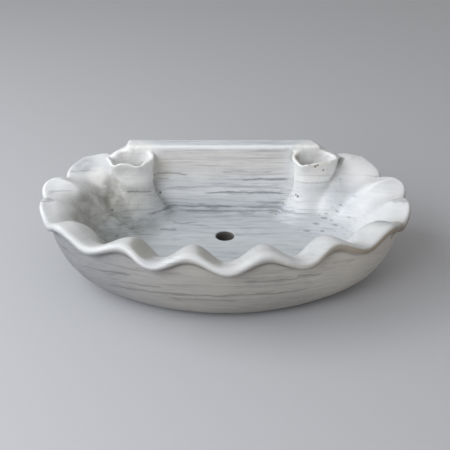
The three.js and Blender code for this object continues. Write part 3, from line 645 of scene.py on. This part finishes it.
def carve():
    """The stone, made even, worked smooth and uneven, with masks for its material; and its pits."""
    stone = assembled()
    voxel = VOXEL
    remesh = stone.modifiers.new("even", "REMESH")
    remesh.mode = "VOXEL"
    remesh.voxel_size = voxel
    remesh.adaptivity = 0
    settle(stone)
    mesh = stone.data
    p = vectors(mesh.vertices, "co")
    edges = np.empty(len(mesh.edges) * 2, np.int64)
    mesh.edges.foreach_get("vertices", edges)
    edges = edges.reshape(-1, 2)
    n = len(p)
    degree = np.bincount(edges.ravel(), minlength=n).astype(float)

    def neighbours_mean(q):
        out = np.empty_like(q)
        for k in range(q.shape[1]):
            out[:, k] = (np.bincount(edges[:, 0], q[edges[:, 1], k], n)
                         + np.bincount(edges[:, 1], q[edges[:, 0], k], n)) / degree
        return out

    # Where each point lies: under the rim's band, in or near a cup, in the gap beside the right cup.
    turned = np.degrees(np.arctan2(p[:, 1] / RIM_HALF_DEPTH, p[:, 0] / RIM_HALF_WIDTH)) % 360
    turned = np.where(turned < 90, turned + 360, turned)
    rim = rim_at(turned)
    face, crest, hull_top, outwards = rim[0], rim[2], rim[3], rim[4]
    line = raised(hull_top, 0)
    line[:, 2] = crest - BAND_THICKNESS
    crease = np.exp(-(np.linalg.norm(p - line, axis=1) / 8) ** 2) * (p[:, 1] < BACK - 12)
    crisp = 0.85 * crease
    inside_cup = np.zeros(n)
    by_cup = np.zeros(n)
    for cup in (LEFT_CUP, RIGHT_CUP):
        wide = np.hypot((p[:, 0] - cup["top"]) / 36, (p[:, 1] - CUP_MIDDLE) / 27)
        lips = ramp(p[:, 2], LIP - 26, LIP - 12) * ramp(wide, 1.5, 1.25)
        by_cup = np.maximum(by_cup, ramp(wide, 1.7, 1.2) * ramp(p[:, 2], 90, 120))
        crisp = np.maximum(crisp, 0.75 * lips)
    drain = np.hypot(p[:, 0], p[:, 1] - DRAIN_BACK)
    crisp = np.maximum(crisp, 0.85 * ramp(drain, 22, 18) * (p[:, 2] > 30))
    gap = np.hypot(p[:, 0] - (GAP_X - 1.5), p[:, 1] - (GAP_Y + 1))
    crisp = np.maximum(crisp, 0.9 * ramp(gap, 22, 14) * ramp(p[:, 2], 100, 106))

    # Hollow corners are worked round with the chisel and the rubbing stone; outer edges stay crisper.
    flat = (p[:, 2] < 0.4) | (p[:, 1] > BACK - 0.4)
    for step in range(SMOOTH_ROUNDS):
        move = neighbours_mean(p) - p
        if step % 5 == 0:
            put(mesh, p)
            normal = vectors(mesh.vertex_normals, "vector")
        out = (move * normal).sum(1)
        rate = np.where(out > 0, HOLLOW_RATE * (1 - crisp), EDGE_RATE - DRAIN_RATE * (drain < 20))
        rate = np.where(flat, 0.0, rate)
        p += move * rate[:, None]
    put(mesh, p)

    # Unevenness left by hand carving, with rougher cup lips.
    normal = vectors(mesh.vertex_normals, "vector")
    broad, small, fine, rough = (Noise(seed).at(p / size + shift) for seed, size, shift in UNEVEN_LAYERS)
    depth = 0.55 * broad + 0.22 * small + 0.07 * fine + by_cup * (0.3 * fine + 0.28 * rough)
    p += normal * np.where(flat, 0.0, depth)[:, None]
    offset = np.array([OVAL_X, OVAL_Y, 0])
    pits = []
    for x, y, z, radius, dent in PITS:
        away = np.linalg.norm(p + offset - [x, y, z], axis=1)
        centre = p[np.argmin(away)].copy()
        reach = np.linalg.norm(p - centre, axis=1)
        p -= normal * (dent * np.exp(-(reach / radius) ** 2))[:, None]
        pits.append((tuple((centre + offset) / 1000), radius / 1000))
    put(mesh, p)

    # Masks for the material. Quiet is the calmer stone of petals and cups. The others mark painted light
    # and shade: a painted shadow in a thin line under the rim's band, painted shade in hollows, in the gap
    # beside the right cup and on the slopes of the front petals that look to the right, worn convex edges
    # that also take a painted highlight, and the band's outer face for its dirt and painted shade.
    normal = vectors(mesh.vertex_normals, "vector")
    bend = ((neighbours_mean(p) - p) * normal).sum(1)
    for step in range(6):
        bend = 0.5 * bend + 0.5 * neighbours_mean(bend[:, None])[:, 0]
    bend = bend * (VOXEL / voxel) ** 2
    radial = np.hypot(p[:, 0] / RIM_HALF_WIDTH, p[:, 1] / RIM_HALF_DEPTH)
    under = (p[:, :2] * outwards).sum(1) > (hull_top * outwards).sum(1) - 26
    skin = under * (normal[:, 2] < 0.15) + (p[:, 2] < 40) + (p[:, 1] > BACK - 1)
    outer = np.clip(skin.astype(float), 0, 1)
    for step in range(4):
        outer = neighbours_mean(outer[:, None])[:, 0]
    for cup in (LEFT_CUP, RIGHT_CUP):
        from_middle = p[:, :2] - [cup["middle"], CUP_MIDDLE + 1]
        well = np.hypot(from_middle[:, 0] / 38, from_middle[:, 1] / 24)
        towards = (from_middle * normal[:, :2]).sum(1) / np.linalg.norm(from_middle, axis=1)
        here = (well < 1.1) & (p[:, 2] > 84) & (p[:, 2] < LIP + 4)
        low_inside = (p[:, 2] < 100) & (well < 0.75)
        inside_cup = np.maximum(inside_cup, here & ((towards < -0.3) | low_inside))
    for step in range(3):
        inside_cup = neighbours_mean(inside_cup[:, None].astype(float))[:, 0]
    petals = ramp(radial, 0.62, 0.84) * ramp(p[:, 2], 70, 100) * (1 - outer)
    quiet = np.maximum(petals, by_cup * (1 - outer))
    # Convex edges: worn, and whitened in the material as a painted highlight.
    worn_edge_highlight = ramp(-bend, 0.012, 0.075) * ramp(drain, 19, 26)
    # A painted shadow along the thin line under the rim's band.
    under_band_shadow = np.exp(-(np.linalg.norm(p - line, axis=1) / 2.6) ** 2) * (p[:, 1] < BACK - 3)
    # The band's outer face, darker and browner in the material to the right: dirt and painted shade.
    beyond = ((p[:, :2] - face) * outwards).sum(1)
    band = ramp(beyond, -6, -2) * ramp(crest - p[:, 2], 1.5, 5) * (p[:, 1] < BACK - 3)
    # Painted shade in the gap beside the right cup.
    gap_x, gap_y = p[:, 0] - GAP_X, p[:, 1] - GAP_Y
    turn = math.radians(GAP_DEGREES)
    along = np.abs(gap_x * math.cos(turn) + gap_y * math.sin(turn))
    across = np.abs(gap_x * math.sin(turn) - gap_y * math.cos(turn))
    slit_shade = ramp(across, 4.9, 3.2) * ramp(along, 15, 11) * (np.hypot(gap_x, gap_y) < 18)
    slit_shade = slit_shade * ramp(p[:, 2], 122, 134) * ramp(p[:, 2], 149, 144)
    # Painted shade on the slopes of the front petals that face to the right.
    right_slope_shade = ramp(normal[:, 0], 0.1, 0.5) * (1 - outer) * ramp(radial, 0.62, 0.78) * ramp(p[:, 1], 0, -60)
    right_slope_shade = right_slope_shade * ramp(p[:, 0], -195, -150) * (1 - 0.8 * ramp(p[:, 0], 20, 90))
    # Hollows are darkened in the material as painted shade.
    masks = {"slit_shade": slit_shade, "right_slope_shade": right_slope_shade, "under_band_shadow": under_band_shadow, "band": band, "worn_edge_highlight": worn_edge_highlight, "outer": outer,
             "hollow_shade": ramp(bend, 0.008, 0.06), "cup": inside_cup, "quiet": quiet}
    for name, value in masks.items():
        layer = mesh.attributes.new(name, "FLOAT", "POINT")
        layer.data.foreach_set("value", value.astype(np.float32))

    # Into the row frame, in metres, inside the solid's box.
    p = (p + offset) / 1000
    low = np.array(cad_low) + 1e-5
    high = np.array(cad_high) - 1e-5
    p = np.clip(p, low, high)
    put(mesh, p)
    mesh.shade_smooth()
    stone.name = "carved_basin"
    return stone, pits


# Material helpers.
def linear(rgb):
    """A screen tone of 0 to 255 as the linear colour that nodes take."""
    shares = [c / 255 for c in rgb]
    return tuple(s / 12.92 if s <= 0.04045 else ((s + 0.055) / 1.055) ** 2.4 for s in shares) + (1,)


def tone(name):
    return linear(TONES[name])


class Graph:
    def __init__(self, name):
        self.material = bpy.data.materials.new(name)
        self.material.use_nodes = True
        self.tree = self.material.node_tree
        self.tree.nodes.clear()

    def node(self, kind):
        return self.tree.nodes.new("ShaderNode" + kind)

    def put(self, socket, value):
        if isinstance(value, bpy.types.NodeSocket):
            self.tree.links.new(value, socket)
        else:
            socket.default_value = value

    def math(self, operation, a, b=0.0, c=0.0):
        node = self.node("Math")
        node.operation = operation
        for socket, value in zip(node.inputs, (a, b, c)):
            self.put(socket, value)
        return node.outputs[0]

    def scaled(self, value, scale, add):
        return self.math("MULTIPLY_ADD", value, scale, add)

    def times(self, *values):
        total = values[0]
        for value in values[1:]:
            total = self.math("MULTIPLY", total, value)
        return total

    def inverse(self, value):
        return self.math("SUBTRACT", 1.0, value)

    def highest(self, values):
        total = values[0]
        for value in values[1:]:
            total = self.math("MAXIMUM", total, value)
        return total

    def noise(self, vector, scale=1.0, detail=2.0, rough=0.5):
        node = self.node("TexNoise")
        self.put(node.inputs["Vector"], vector)
        self.put(node.inputs["Scale"], scale)
        self.put(node.inputs["Detail"], detail)
        self.put(node.inputs["Roughness"], rough)
        return node.outputs["Fac"]

    def span(self, value, low, high, to_low=0.0, to_high=1.0):
        node = self.node("MapRange")
        node.interpolation_type = "SMOOTHSTEP"
        self.put(node.inputs["Value"], value)
        self.put(node.inputs["From Min"], low)
        self.put(node.inputs["From Max"], high)
        self.put(node.inputs["To Min"], to_low)
        self.put(node.inputs["To Max"], to_high)
        return node.outputs["Result"]

    def mix(self, share, a, b):
        node = self.node("Mix")
        node.data_type = "RGBA"
        self.put(node.inputs["Factor"], share)
        self.put(node.inputs[6], a)
        self.put(node.inputs[7], b)
        return node.outputs[2]

    def tint(self, share, color, tone):
        node = self.node("Mix")
        node.data_type = "RGBA"
        node.blend_type = "MULTIPLY"
        self.put(node.inputs["Factor"], share)
        self.put(node.inputs[6], color)
        self.put(node.inputs[7], tone)
        return node.outputs[2]

    def attribute(self, name):
        node = self.node("Attribute")
        node.attribute_name = name
        return node.outputs["Fac"]

    def distance(self, vector, place):
        node = self.node("VectorMath")
        node.operation = "DISTANCE"
        self.put(node.inputs[0], vector)
        node.inputs[1].default_value = place
        return node.outputs["Value"]

    def around(self, vector, place, inner, outer, strength):
        """Full strength near a place, none beyond the outer distance."""
        return self.span(self.distance(vector, place), inner, outer, strength, 0.0)

    def combine(self, x, y, z):
        node = self.node("CombineXYZ")
        for socket, value in zip(node.inputs, (x, y, z)):
            self.put(socket, value)
        return node.outputs[0]

    def separate(self, vector):
        node = self.node("SeparateXYZ")
        self.put(node.inputs[0], vector)
        return node.outputs


# Screen tones, 0 to 255. Those of marks and zones are either laid over the stone or multiplied with it;
# many of them are painted light and shade, as said where each is used.
TONES = {
    "pale": (234, 235, 236), "dull": (217, 219, 222), "mottle": (198, 200, 203),
    "streak": (176, 179, 185), "thin streak": (160, 164, 171), "lens": (124, 128, 136),
    "vein": (96, 102, 112), "fleck": (112, 118, 130), "dash": (100, 106, 118),
    "cool floor shade": (222, 226, 229), "hull left shade": (187, 187, 190), "hull middle shade": (223, 217, 209),
    "hull right light": (255, 249, 240), "hull painted light": (252, 245, 234), "upper wall": (255, 251, 247),
    "patina_and_rim_shadow": (188, 187, 180), "cup inside": (252, 250, 247), "hollow_shade": (214, 213, 209),
    "worn_edge_highlight": (250, 251, 252), "under_band_shadow": (142, 137, 130), "band": (190, 174, 154), "right_slope_shade": (216, 214, 208),
    "ledge": (243, 246, 249), "front rim shade": (242, 242, 241), "slit_shade": (48, 46, 43),
    "spur_highlight": (248, 247, 244), "cup front cream and light": (251, 249, 245), "right lobe light": (252, 252, 253),
    "pit": (84, 78, 68), "bore": (128, 126, 124), "ground": (198, 199, 203),
    "ground bounce": (128, 130, 134),
}

# Beds tilt 14 degrees about X; the wobble laid on them lifts them by this much on average.
BED_SIN, BED_COS = math.sin(math.radians(14)), math.cos(math.radians(14))
WOBBLE_LIFT = 2.8

# Single veins seen in the stone: from and to along X, height through the beds, its bow, middle and
# reach in depth, thickness (mm) and darkness.
VEINS = [
    (-128, -60, 148, -5, 112, 22, 1.7, 0.6), (-114, -93, 137.4, 0, 113, 20, 1.2, 0.4),
    (-118, 120, 123.6, -6, 116, 22, 2.8, 0.35), (-38, 112, 112.2, -2.6, 117, 22, 1.9, 0.8),
    (28, 114, 136.2, -1.2, 113, 20, 1.7, 0.7), (-8, 86, 149.5, -0.6, 111, 20, 1.5, 0.45),
    (50, 114, 92.5, 1.5, 110, 30, 1.8, 0.3), (-146, 40, 86.6, -2.5, 98, 52, 2, 0.7),
    (-90, 112, 78.8, 1.5, 108, 40, 1.9, 0.55), (12, 160, 84.5, 1.5, 92, 52, 1.8, 0.5),
    (-90, -40, 66.6, 1.2, 85, 22, 0.8, 0.45), (-110, -78, 61.2, 0, 60, 14, 0.9, 0.5),
    (-146, -126, 75, 0, 70, 14, 1, 0.5), (-168, -118, 122.6, -1.5, 80, 22, 1.5, 0.5),
    (118, 188, 152.2, -2, 78, 26, 1.3, 0.5), (116, 184, 138.6, 0, 79, 26, 1.6, 0.6),
    (196, 270, 147.3, 1.2, 96, 26, 1.2, 0.5), (-266, -212, 153.1, 0, 102, 24, 1.2, 0.4),
    (-292, -250, 131.2, 0.8, -18, 22, 1.2, 0.55), (-290, -240, 134.2, -2, 28, 20, 1.1, 0.35),
    (252, 294, 131.6, 0.8, -15, 22, 1.1, 0.5), (210, 264, 117.4, -2, -80, 14, 1.1, 0.5),
    (-220, -130, 51, -1, -117, 60, 1.7, 0.5),
    (-190, 30, 25.4, -2, -132, 75, 1.7, 0.5), (-86, 26, 16.4, -1.5, -148, 40, 1.7, 0.45),
    (-160, -86, 36.4, 0, -139, 40, 1.5, 0.35), (24, 118, 50.6, 0, -160, 40, 1.5, 0.45),
    (104, 146, 54, 0, -149, 30, 1.8, 0.6), (156, 198, 69.5, 0, -130, 30, 1.8, 0.6),
    (-6, 134, 26.6, 1.5, -148, 40, 1.6, 0.4), (-264, -226, 73, 0, -63, 40, 1.3, 0.4),
]


# Short dark dashes where the beds run out on the side walls: middle (mm), half length and darkness.
DASHES = [(182, 120, 97, 5, 0.55), (214, 79, 106, 6, 0.5), (197, 93, 82, 4, 0.45), (183, 101, 75, 6, 0.5),
          (173, 92, 66, 4, 0.5), (169, 85, 61, 7, 0.55), (179, 69, 64, 4, 0.5), (155, 77, 54, 7, 0.5),
          (185, 61, 60, 6, 0.5), (164, 58, 51, 4, 0.5), (139, 65, 47, 7, 0.45), (207, 63, 74, 4, 0.4),
          (190, 84, 74, 3, 0.5), (176, 78, 68, 3, 0.45), (200, 70, 88, 3, 0.4), (162, 97, 62, 3, 0.5),
          (-212, 64, 79, 4, 0.35), (-199, 61, 67, 4, 0.35), (-190, 72, 72, 5, 0.3), (-173, 64, 58, 5, 0.35),
          (-201, 33, 64, 4, 0.3), (-154, 66, 51, 7, 0.4), (-175, 44, 50, 5, 0.3)]


# Warm and dark patches: middle (mm), where each starts to fade and ends, strength and tone. Some are the
# stone's own stains, most are painted shade, as said line by line.
# The stone's own stains: a creamy patch on the right cup's front, a brown patch at its back left lip.
STAINS_AND_SHADE = [((158, 102, 147), 10, 30, 0.9, (250, 243, 232)), ((121, 142, 147), 3, 12, 0.9, (196, 186, 172)),
          # Painted shade on the big petal at the left back.
          ((-238, 150, 130), 8, 34, 0.9, (199, 201, 204)),
          # A brown stain at the left cup's back left lip; the brown end of the front rim at the right, dirt
          # and painted shade.
          ((-187, 154, 147), 3, 12, 0.9, (196, 186, 174)), ((262, -47, 119), 6, 20, 0.9, (178, 162, 142)),
          # Painted shade on the front right petal's crest, and low on the left inside by the left cup.
          ((240, -55, 131), 8, 26, 0.9, (214, 218, 224)), ((-188, 108, 83), 6, 28, 0.9, (202, 201, 194)),
          # Painted shade high on the left inside wall, and on the right of the bulge beside the left cup.
          ((-226, 76, 112), 4, 24, 0.9, (190, 190, 186)), ((-206, 130, 114), 4, 18, 0.7, (212, 211, 207)),
          # Painted shade on the bowl's floor at the left, and a painted shadow of the left cup on the wall
          # to its right.
          ((-128, 74, 48), 10, 34, 0.7, (216, 217, 217)), ((-113, 143, 126), 6, 30, 0.9, (244, 240, 230)),
          # Painted shade, cool, on the right inside wall, and on the front rim left of the middle.
          ((204, 98, 92), 16, 46, 0.9, (240, 243, 247)), ((-105, -149, 122), 6, 26, 0.9, (240, 240, 243)),
          # Painted shade on the front rim right of the middle.
          ((102, -152, 124), 4, 18, 0.9, (244, 244, 246)),
          # Dark painted shade under the left end of the rim.
          ((-257, -34, 106), 2, 8, 0.9, (120, 118, 114))]


def vein_share(g, x, deep, wobble, uneven):
    """How dark the single veins make each place: thin lenses that lie in the beds."""
    veins = []
    for x0, x1, height, bow, middle, reach, thick, dark in VEINS:
        half = (x1 - x0) / 2000
        run = g.scaled(x, 1 / half, -(x0 + x1) / 2000 / half)
        run2 = g.times(run, run)
        far = g.scaled(deep, 1000 / reach, -middle / reach)
        share = g.span(g.scaled(far, far, run2), 0.55, 1.0, 1.0, 0.0)
        line = (height + WOBBLE_LIFT) / 1000
        if bow:
            line = g.scaled(run2, bow / 1000, line)
        away = g.times(g.math("ABSOLUTE", g.math("SUBTRACT", wobble, line)), uneven)
        near = g.span(away, thick * 0.1 / 1000, thick * 1.7 / 1000, dark * 0.85, 0.0)
        veins.append(g.times(near, share))
    return g.highest(veins)


def dash_share(g, x, deep, wobble):
    """How dark the short dashes make each place: small flat lenses in the beds."""
    half_depth, half_height = 9, 1.5
    dashes = []
    for px, py, pz, half, dark in DASHES:
        line = (py * BED_SIN + pz * BED_COS + WOBBLE_LIFT) / 1000
        middle = (py * BED_COS - pz * BED_SIN) / 1000
        run = g.scaled(x, 1000 / half, -px / half)
        far = g.scaled(deep, 1000 / half_depth, -middle * 1000 / half_depth)
        rise = g.scaled(wobble, 1000 / half_height, -line * 1000 / half_height)
        total = g.scaled(rise, rise, g.scaled(far, far, g.times(run, run)))
        dashes.append(g.span(total, 0.2, 1.3, dark, 0.0))
    return g.highest(dashes)


def marble(pits):
    g = Graph("marble")
    coordinates = g.node("TexCoord").outputs["Object"]
    x, y, z = g.separate(coordinates)
    side = g.math("ABSOLUTE", x)
    worn_edge_highlight, hollow_shade, outer, cup, quiet = (g.attribute(n) for n in ("worn_edge_highlight", "hollow_shade", "outer", "cup", "quiet"))
    under_band_shadow, band, slit_shade, right_slope_shade = (g.attribute(n) for n in ("under_band_shadow", "band", "slit_shade", "right_slope_shade"))
    inner = g.inverse(outer)

    # Height through the beds, and depth along them.
    bed = g.math("ADD", g.times(y, BED_SIN), g.times(z, BED_COS))
    deep = g.math("SUBTRACT", g.times(y, BED_COS), g.times(z, BED_SIN))
    warp = g.noise(coordinates, scale=7.0, detail=1.0)
    warp_small = g.noise(coordinates, scale=26.0, detail=2.0)
    bent = g.scaled(warp, 0.008, bed)
    bent = g.scaled(warp_small, 0.003, bent)

    def beds(along_x, along_y, through_z, detail, rough, offset=0.0):
        vector = g.combine(g.scaled(x, along_x, offset), g.times(deep, along_y),
                           g.times(bent, through_z))
        return g.noise(vector, scale=1.0, detail=detail, rough=rough)

    # Cloudy bands, streaks and dark lenses, quieter on petals, cups, side walls and hull.
    cloud = g.noise(coordinates, scale=9.0, detail=2.0, rough=0.5)
    mottle = g.noise(coordinates, scale=42.0, detail=3.0, rough=0.6)
    broad = beds(3.0, 12.0, 70.0, 2.0, 0.5)
    streak = beds(8.0, 40.0, 230.0, 3.0, 0.6, 3.7)
    thin = beds(16.0, 110.0, 620.0, 2.0, 0.6, 9.1)
    lens = beds(11.0, 60.0, 260.0, 2.0, 0.5, 17.3)
    loud = g.scaled(quiet, -0.62, g.scaled(outer, -0.2, 1.0))
    side_wall = g.times(g.span(side, 0.14, 0.2), inner)
    loud = g.times(loud, g.scaled(side_wall, -0.45, 1.0), g.span(cloud, 0.36, 0.6, 0.5, 1.05))
    color = g.mix(g.times(g.span(broad, 0.40, 0.70), 0.5), tone("pale"), tone("dull"))
    color = g.mix(g.times(g.span(mottle, 0.45, 0.75), 0.25, loud), color, tone("mottle"))
    color = g.mix(g.times(g.span(streak, 0.47, 0.72), 0.62, loud), color, tone("streak"))
    color = g.mix(g.times(g.span(thin, 0.46, 0.74), 0.35, loud), color, tone("thin streak"))
    scarce = g.times(g.span(lens, 0.66, 0.76), g.span(cloud, 0.40, 0.62, 0.2, 1.0))
    color = g.mix(g.times(scarce, 0.6, loud), color, tone("lens"))

    wobble = g.scaled(g.noise(coordinates, scale=60.0, detail=3.0), 0.0026, bed)
    wobble = g.scaled(warp_small, 0.003, wobble)
    uneven = g.span(beds(34.0, 60.0, 300.0, 2.0, 0.6, 31.0), 0.3, 0.7, 0.35, 1.9)
    color = g.mix(vein_share(g, x, deep, wobble, uneven), color, tone("vein"))

    # Flecks in the inner side walls, where the beds run out at a slant.
    zone = g.times(g.span(side, 0.135, 0.165), g.span(side, 0.235, 0.205))
    zone = g.times(zone, g.span(deep, 0.02, 0.05), g.span(z, 0.125, 0.105))
    flecks = g.times(g.span(beds(70.0, 60.0, 190.0, 1.0, 0.5, 5.2), 0.68, 0.76), inner)
    color = g.mix(g.times(flecks, zone, 0.55), color, tone("fleck"))
    color = g.mix(dash_share(g, x, deep, wobble), color, tone("dash"))

    # The floor of the bowl is a little cooler, and darker as painted shade; the hull is greyer and darker
    # to the left as painted shade, and warmer and paler to the right as painted light; the upper wall is
    # warmer; and the inside at the left is greyed by its patina and a painted shadow of the left rim.
    color = g.tint(g.times(g.span(z, 0.082, 0.052), inner), color, tone("cool floor shade"))
    # Painted shade makes the hull darker and greyer to the left, painted light makes it warmer and paler to
    # the right.
    hull = g.mix(g.span(x, -0.27, 0.0), tone("hull left shade"), tone("hull middle shade"))
    hull = g.mix(g.span(x, 0.02, 0.2), hull, tone("hull right light"))
    color = g.tint(outer, color, hull)
    color = g.mix(g.times(outer, g.span(x, 0.08, 0.2, 0.0, 0.5)), color, tone("hull painted light"))
    upper_wall = g.times(g.span(z, 0.085, 0.14), g.span(z, 0.162, 0.156), g.span(y, 0.10, 0.135))
    upper_wall = g.times(upper_wall, g.span(side, 0.17, 0.13), g.inverse(quiet))
    color = g.tint(upper_wall, color, tone("upper wall"))
    # The stone's patina and a painted shadow of the left rim, greying the inside at the left, mottled.
    patina_and_rim_shadow = g.times(g.span(x, -0.09, -0.165), g.span(z, 0.124, 0.1), inner)
    color = g.tint(g.times(patina_and_rim_shadow, g.span(mottle, 0.2, 0.7, 0.5, 1.0)), color, tone("patina_and_rim_shadow"))

    # Cups; painted shade in the hollows; worn edges, whitened as a painted highlight; a painted shadow
    # under the band; the band's face darker and browner to the right, dirt and painted shade; painted shade
    # on the right-hand slopes, on the ledge's top and on the front rim; and dark painted shade in the slit
    # beside the right cup.
    color = g.tint(g.times(cup, g.span(mottle, 0.35, 0.65, 0.2, 1.0)), color, tone("cup inside"))
    # Painted shade in hollows, less in the cups.
    color = g.tint(g.times(hollow_shade, g.scaled(cup, -0.5, 0.6)), color, tone("hollow_shade"))
    # Worn edges, whitened as a painted highlight, more towards the back.
    edge = g.times(worn_edge_highlight, g.span(y, 0.02, 0.12, 0.2, 0.95), g.scaled(outer, -0.5, 1.0))
    color = g.mix(edge, color, tone("worn_edge_highlight"))
    # A painted shadow under the band, stronger to the right.
    color = g.tint(g.times(under_band_shadow, g.span(x, -0.05, 0.22, 0.6, 1.0)), color, tone("under_band_shadow"))
    # The band's face darker and browner to the right: dirt and painted shade.
    color = g.tint(g.times(band, g.span(x, 0.04, 0.22, 0.0, 0.9)), color, tone("band"))
    # Painted shade on the right-facing slopes of the front petals.
    color = g.tint(right_slope_shade, color, tone("right_slope_shade"))
    # Painted shade on the ledge's top, a little cool.
    color = g.tint(g.span(z, 0.1640, 0.1652), color, tone("ledge"))
    # Painted shade on the front rim.
    front_rim_shade = g.times(g.span(y, 0.0, -0.07), g.span(z, 0.11, 0.121), inner)
    color = g.tint(front_rim_shade, color, tone("front rim shade"))
    # Dark painted shade in the slit beside the right cup.
    color = g.tint(slit_shade, color, tone("slit_shade"))

    # Stains and patches of painted shade, and places made paler by painted light.
    for place, inner_reach, outer_reach, strength, patch_tone in STAINS_AND_SHADE:
        here = g.around(coordinates, tuple(v / 1000 for v in place), inner_reach / 1000, outer_reach / 1000,
                        strength)
        color = g.tint(g.times(here, g.span(mottle, 0.3, 0.6, 0.6, 1.0)), color, linear(patch_tone))
    # Painted light on the bulge beside the left cup.
    spur_highlight = g.around(coordinates, (-0.217, 0.130, 0.118), 0.008, 0.024, 0.6)
    color = g.mix(spur_highlight, color, tone("spur_highlight"))
    plan = g.combine(x, y, 0.0)
    # The cups' fronts paler: the stone's creamy tone and painted light.
    for cup_x in (-0.150, 0.152):
        front = g.span(g.distance(plan, (cup_x, 0.124, 0.0)), 0.048, 0.034)
        front = g.times(front, g.span(z, 0.098, 0.122), g.scaled(cup, -0.45, 0.5))
        color = g.mix(front, color, tone("cup front cream and light"))
    # Painted light on the big petal right of the right cup.
    lobe_light = g.around(coordinates, (0.226, 0.142, 0.128), 0.012, 0.045, 0.85)
    color = g.mix(lobe_light, color, tone("right lobe light"))

    # Pits, and painted shade in the drain's bore.
    spots = [g.around(coordinates, place, radius * 0.5, radius * 1.15, 0.8) for place, radius in pits]
    color = g.mix(g.highest(spots), color, tone("pit"))
    # Painted shade inside the drain's bore.
    drain_axis = (OVAL_X / 1000, (OVAL_Y + DRAIN_BACK) / 1000, 0)
    bore = g.times(g.span(g.distance(plan, drain_axis), 0.0166, 0.0148), g.span(z, 0.0435, 0.041))
    color = g.tint(bore, color, tone("bore"))

    # Honed: worn edges a little shinier, the cups' insides duller, with a fine grain.
    shader = g.node("BsdfPrincipled")
    g.put(shader.inputs["Base Color"], color)
    rough = g.scaled(g.noise(coordinates, scale=60.0, detail=2.0), 0.16, 0.36)
    rough = g.scaled(worn_edge_highlight, -0.14, rough)
    rough = g.scaled(cup, 0.15, rough)
    g.put(shader.inputs["Roughness"], rough)
    shader.inputs["IOR"].default_value = 1.5
    bump = g.node("Bump")
    bump.inputs["Strength"].default_value = 0.35
    bump.inputs["Distance"].default_value = 0.0006
    grain = g.scaled(g.noise(coordinates, scale=420.0, detail=3.0), 0.5,
                   g.noise(coordinates, scale=130.0, detail=2.0))
    g.put(bump.inputs["Height"], grain)
    g.put(shader.inputs["Normal"], bump.outputs[0])
    output = g.node("OutputMaterial")
    g.tree.links.new(shader.outputs[0], output.inputs[0])
    return g.material


def floor_material():
    """Pale where it is seen; a duller stone floor in what it throws back on the basin."""
    g = Graph("floor")
    rays = g.node("LightPath")
    seen = g.highest([rays.outputs[n] for n in ("Is Camera Ray", "Is Glossy Ray", "Is Transmission Ray")])
    shader = g.node("BsdfPrincipled")
    g.put(shader.inputs["Base Color"], g.mix(seen, tone("ground bounce"), tone("ground")))
    shader.inputs["Roughness"].default_value = 0.7
    output = g.node("OutputMaterial")
    g.tree.links.new(shader.outputs[0], output.inputs[0])
    return g.material


# Camera, fitted to the photo: focal length and picture width in pixels, where it looks, how far away
# it is and how steeply it looks down.
FOCAL = 863.8
PICTURE = 450
SENSOR = 36
TARGET = (0.00182, 0.0284, 0.08)
DISTANCE = 1.4
PITCH = 30

# Lamps: place, size, watts and colour. All look at the same place.
LAMPS = {"key": ((-1.65, 0.05, 1.53), 1.5, 21, (0.945, 0.97, 1.0)),
         "front": ((-1.28, -1.42, 1.18), 1.4, 24, (0.95, 0.972, 1.0))}
LAMP_AIM = (0, 0.02, 0.08)
WORLD_COLOR = (1.0, 0.99, 0.975, 1)
WORLD_STRENGTH = 0.38
GROUND_HALF = 30.0


def camera():
    data = bpy.data.cameras.new("camera")
    data.sensor_width = SENSOR
    data.lens = FOCAL / PICTURE * SENSOR
    obj = bpy.data.objects.new("camera", data)
    bpy.context.scene.collection.objects.link(obj)
    pitch = math.radians(PITCH)
    obj.location = Vector(TARGET) - Vector((0, math.cos(pitch), -math.sin(pitch))) * DISTANCE
    obj.rotation_euler = (math.radians(90 - PITCH), 0, 0)
    bpy.context.scene.camera = obj


def lamp(name, place, size, watts, rgb):
    data = bpy.data.lights.new(name, "AREA")
    data.shape = "SQUARE"
    data.size = size
    data.energy = watts
    data.color = rgb
    obj = bpy.data.objects.new(name, data)
    bpy.context.scene.collection.objects.link(obj)
    obj.location = place
    direction = Vector(LAMP_AIM) - Vector(place)
    obj.rotation_euler = direction.to_track_quat("-Z", "Y").to_euler()


def stage():
    half = GROUND_HALF
    corners = [(-half, -half, 0), (half, -half, 0), (half, half, 0), (-half, half, 0)]
    floor = mesh_object("floor", corners, [(0, 1, 2, 3)])
    floor.data.materials.append(floor_material())
    world = bpy.data.worlds.new("world")
    bpy.context.scene.world = world
    world.use_nodes = True
    background = world.node_tree.nodes["Background"]
    background.inputs[0].default_value = WORLD_COLOR
    background.inputs[1].default_value = WORLD_STRENGTH
    for name, (place, size, watts, rgb) in LAMPS.items():
        lamp(name, place, size, watts, rgb)


bpy.context.scene.view_settings.view_transform = "Standard"
camera()
stage()
basin, pits = carve()
basin.data.materials.clear()
basin.data.materials.append(marble(pits))
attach(basin, "root")
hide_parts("basin")
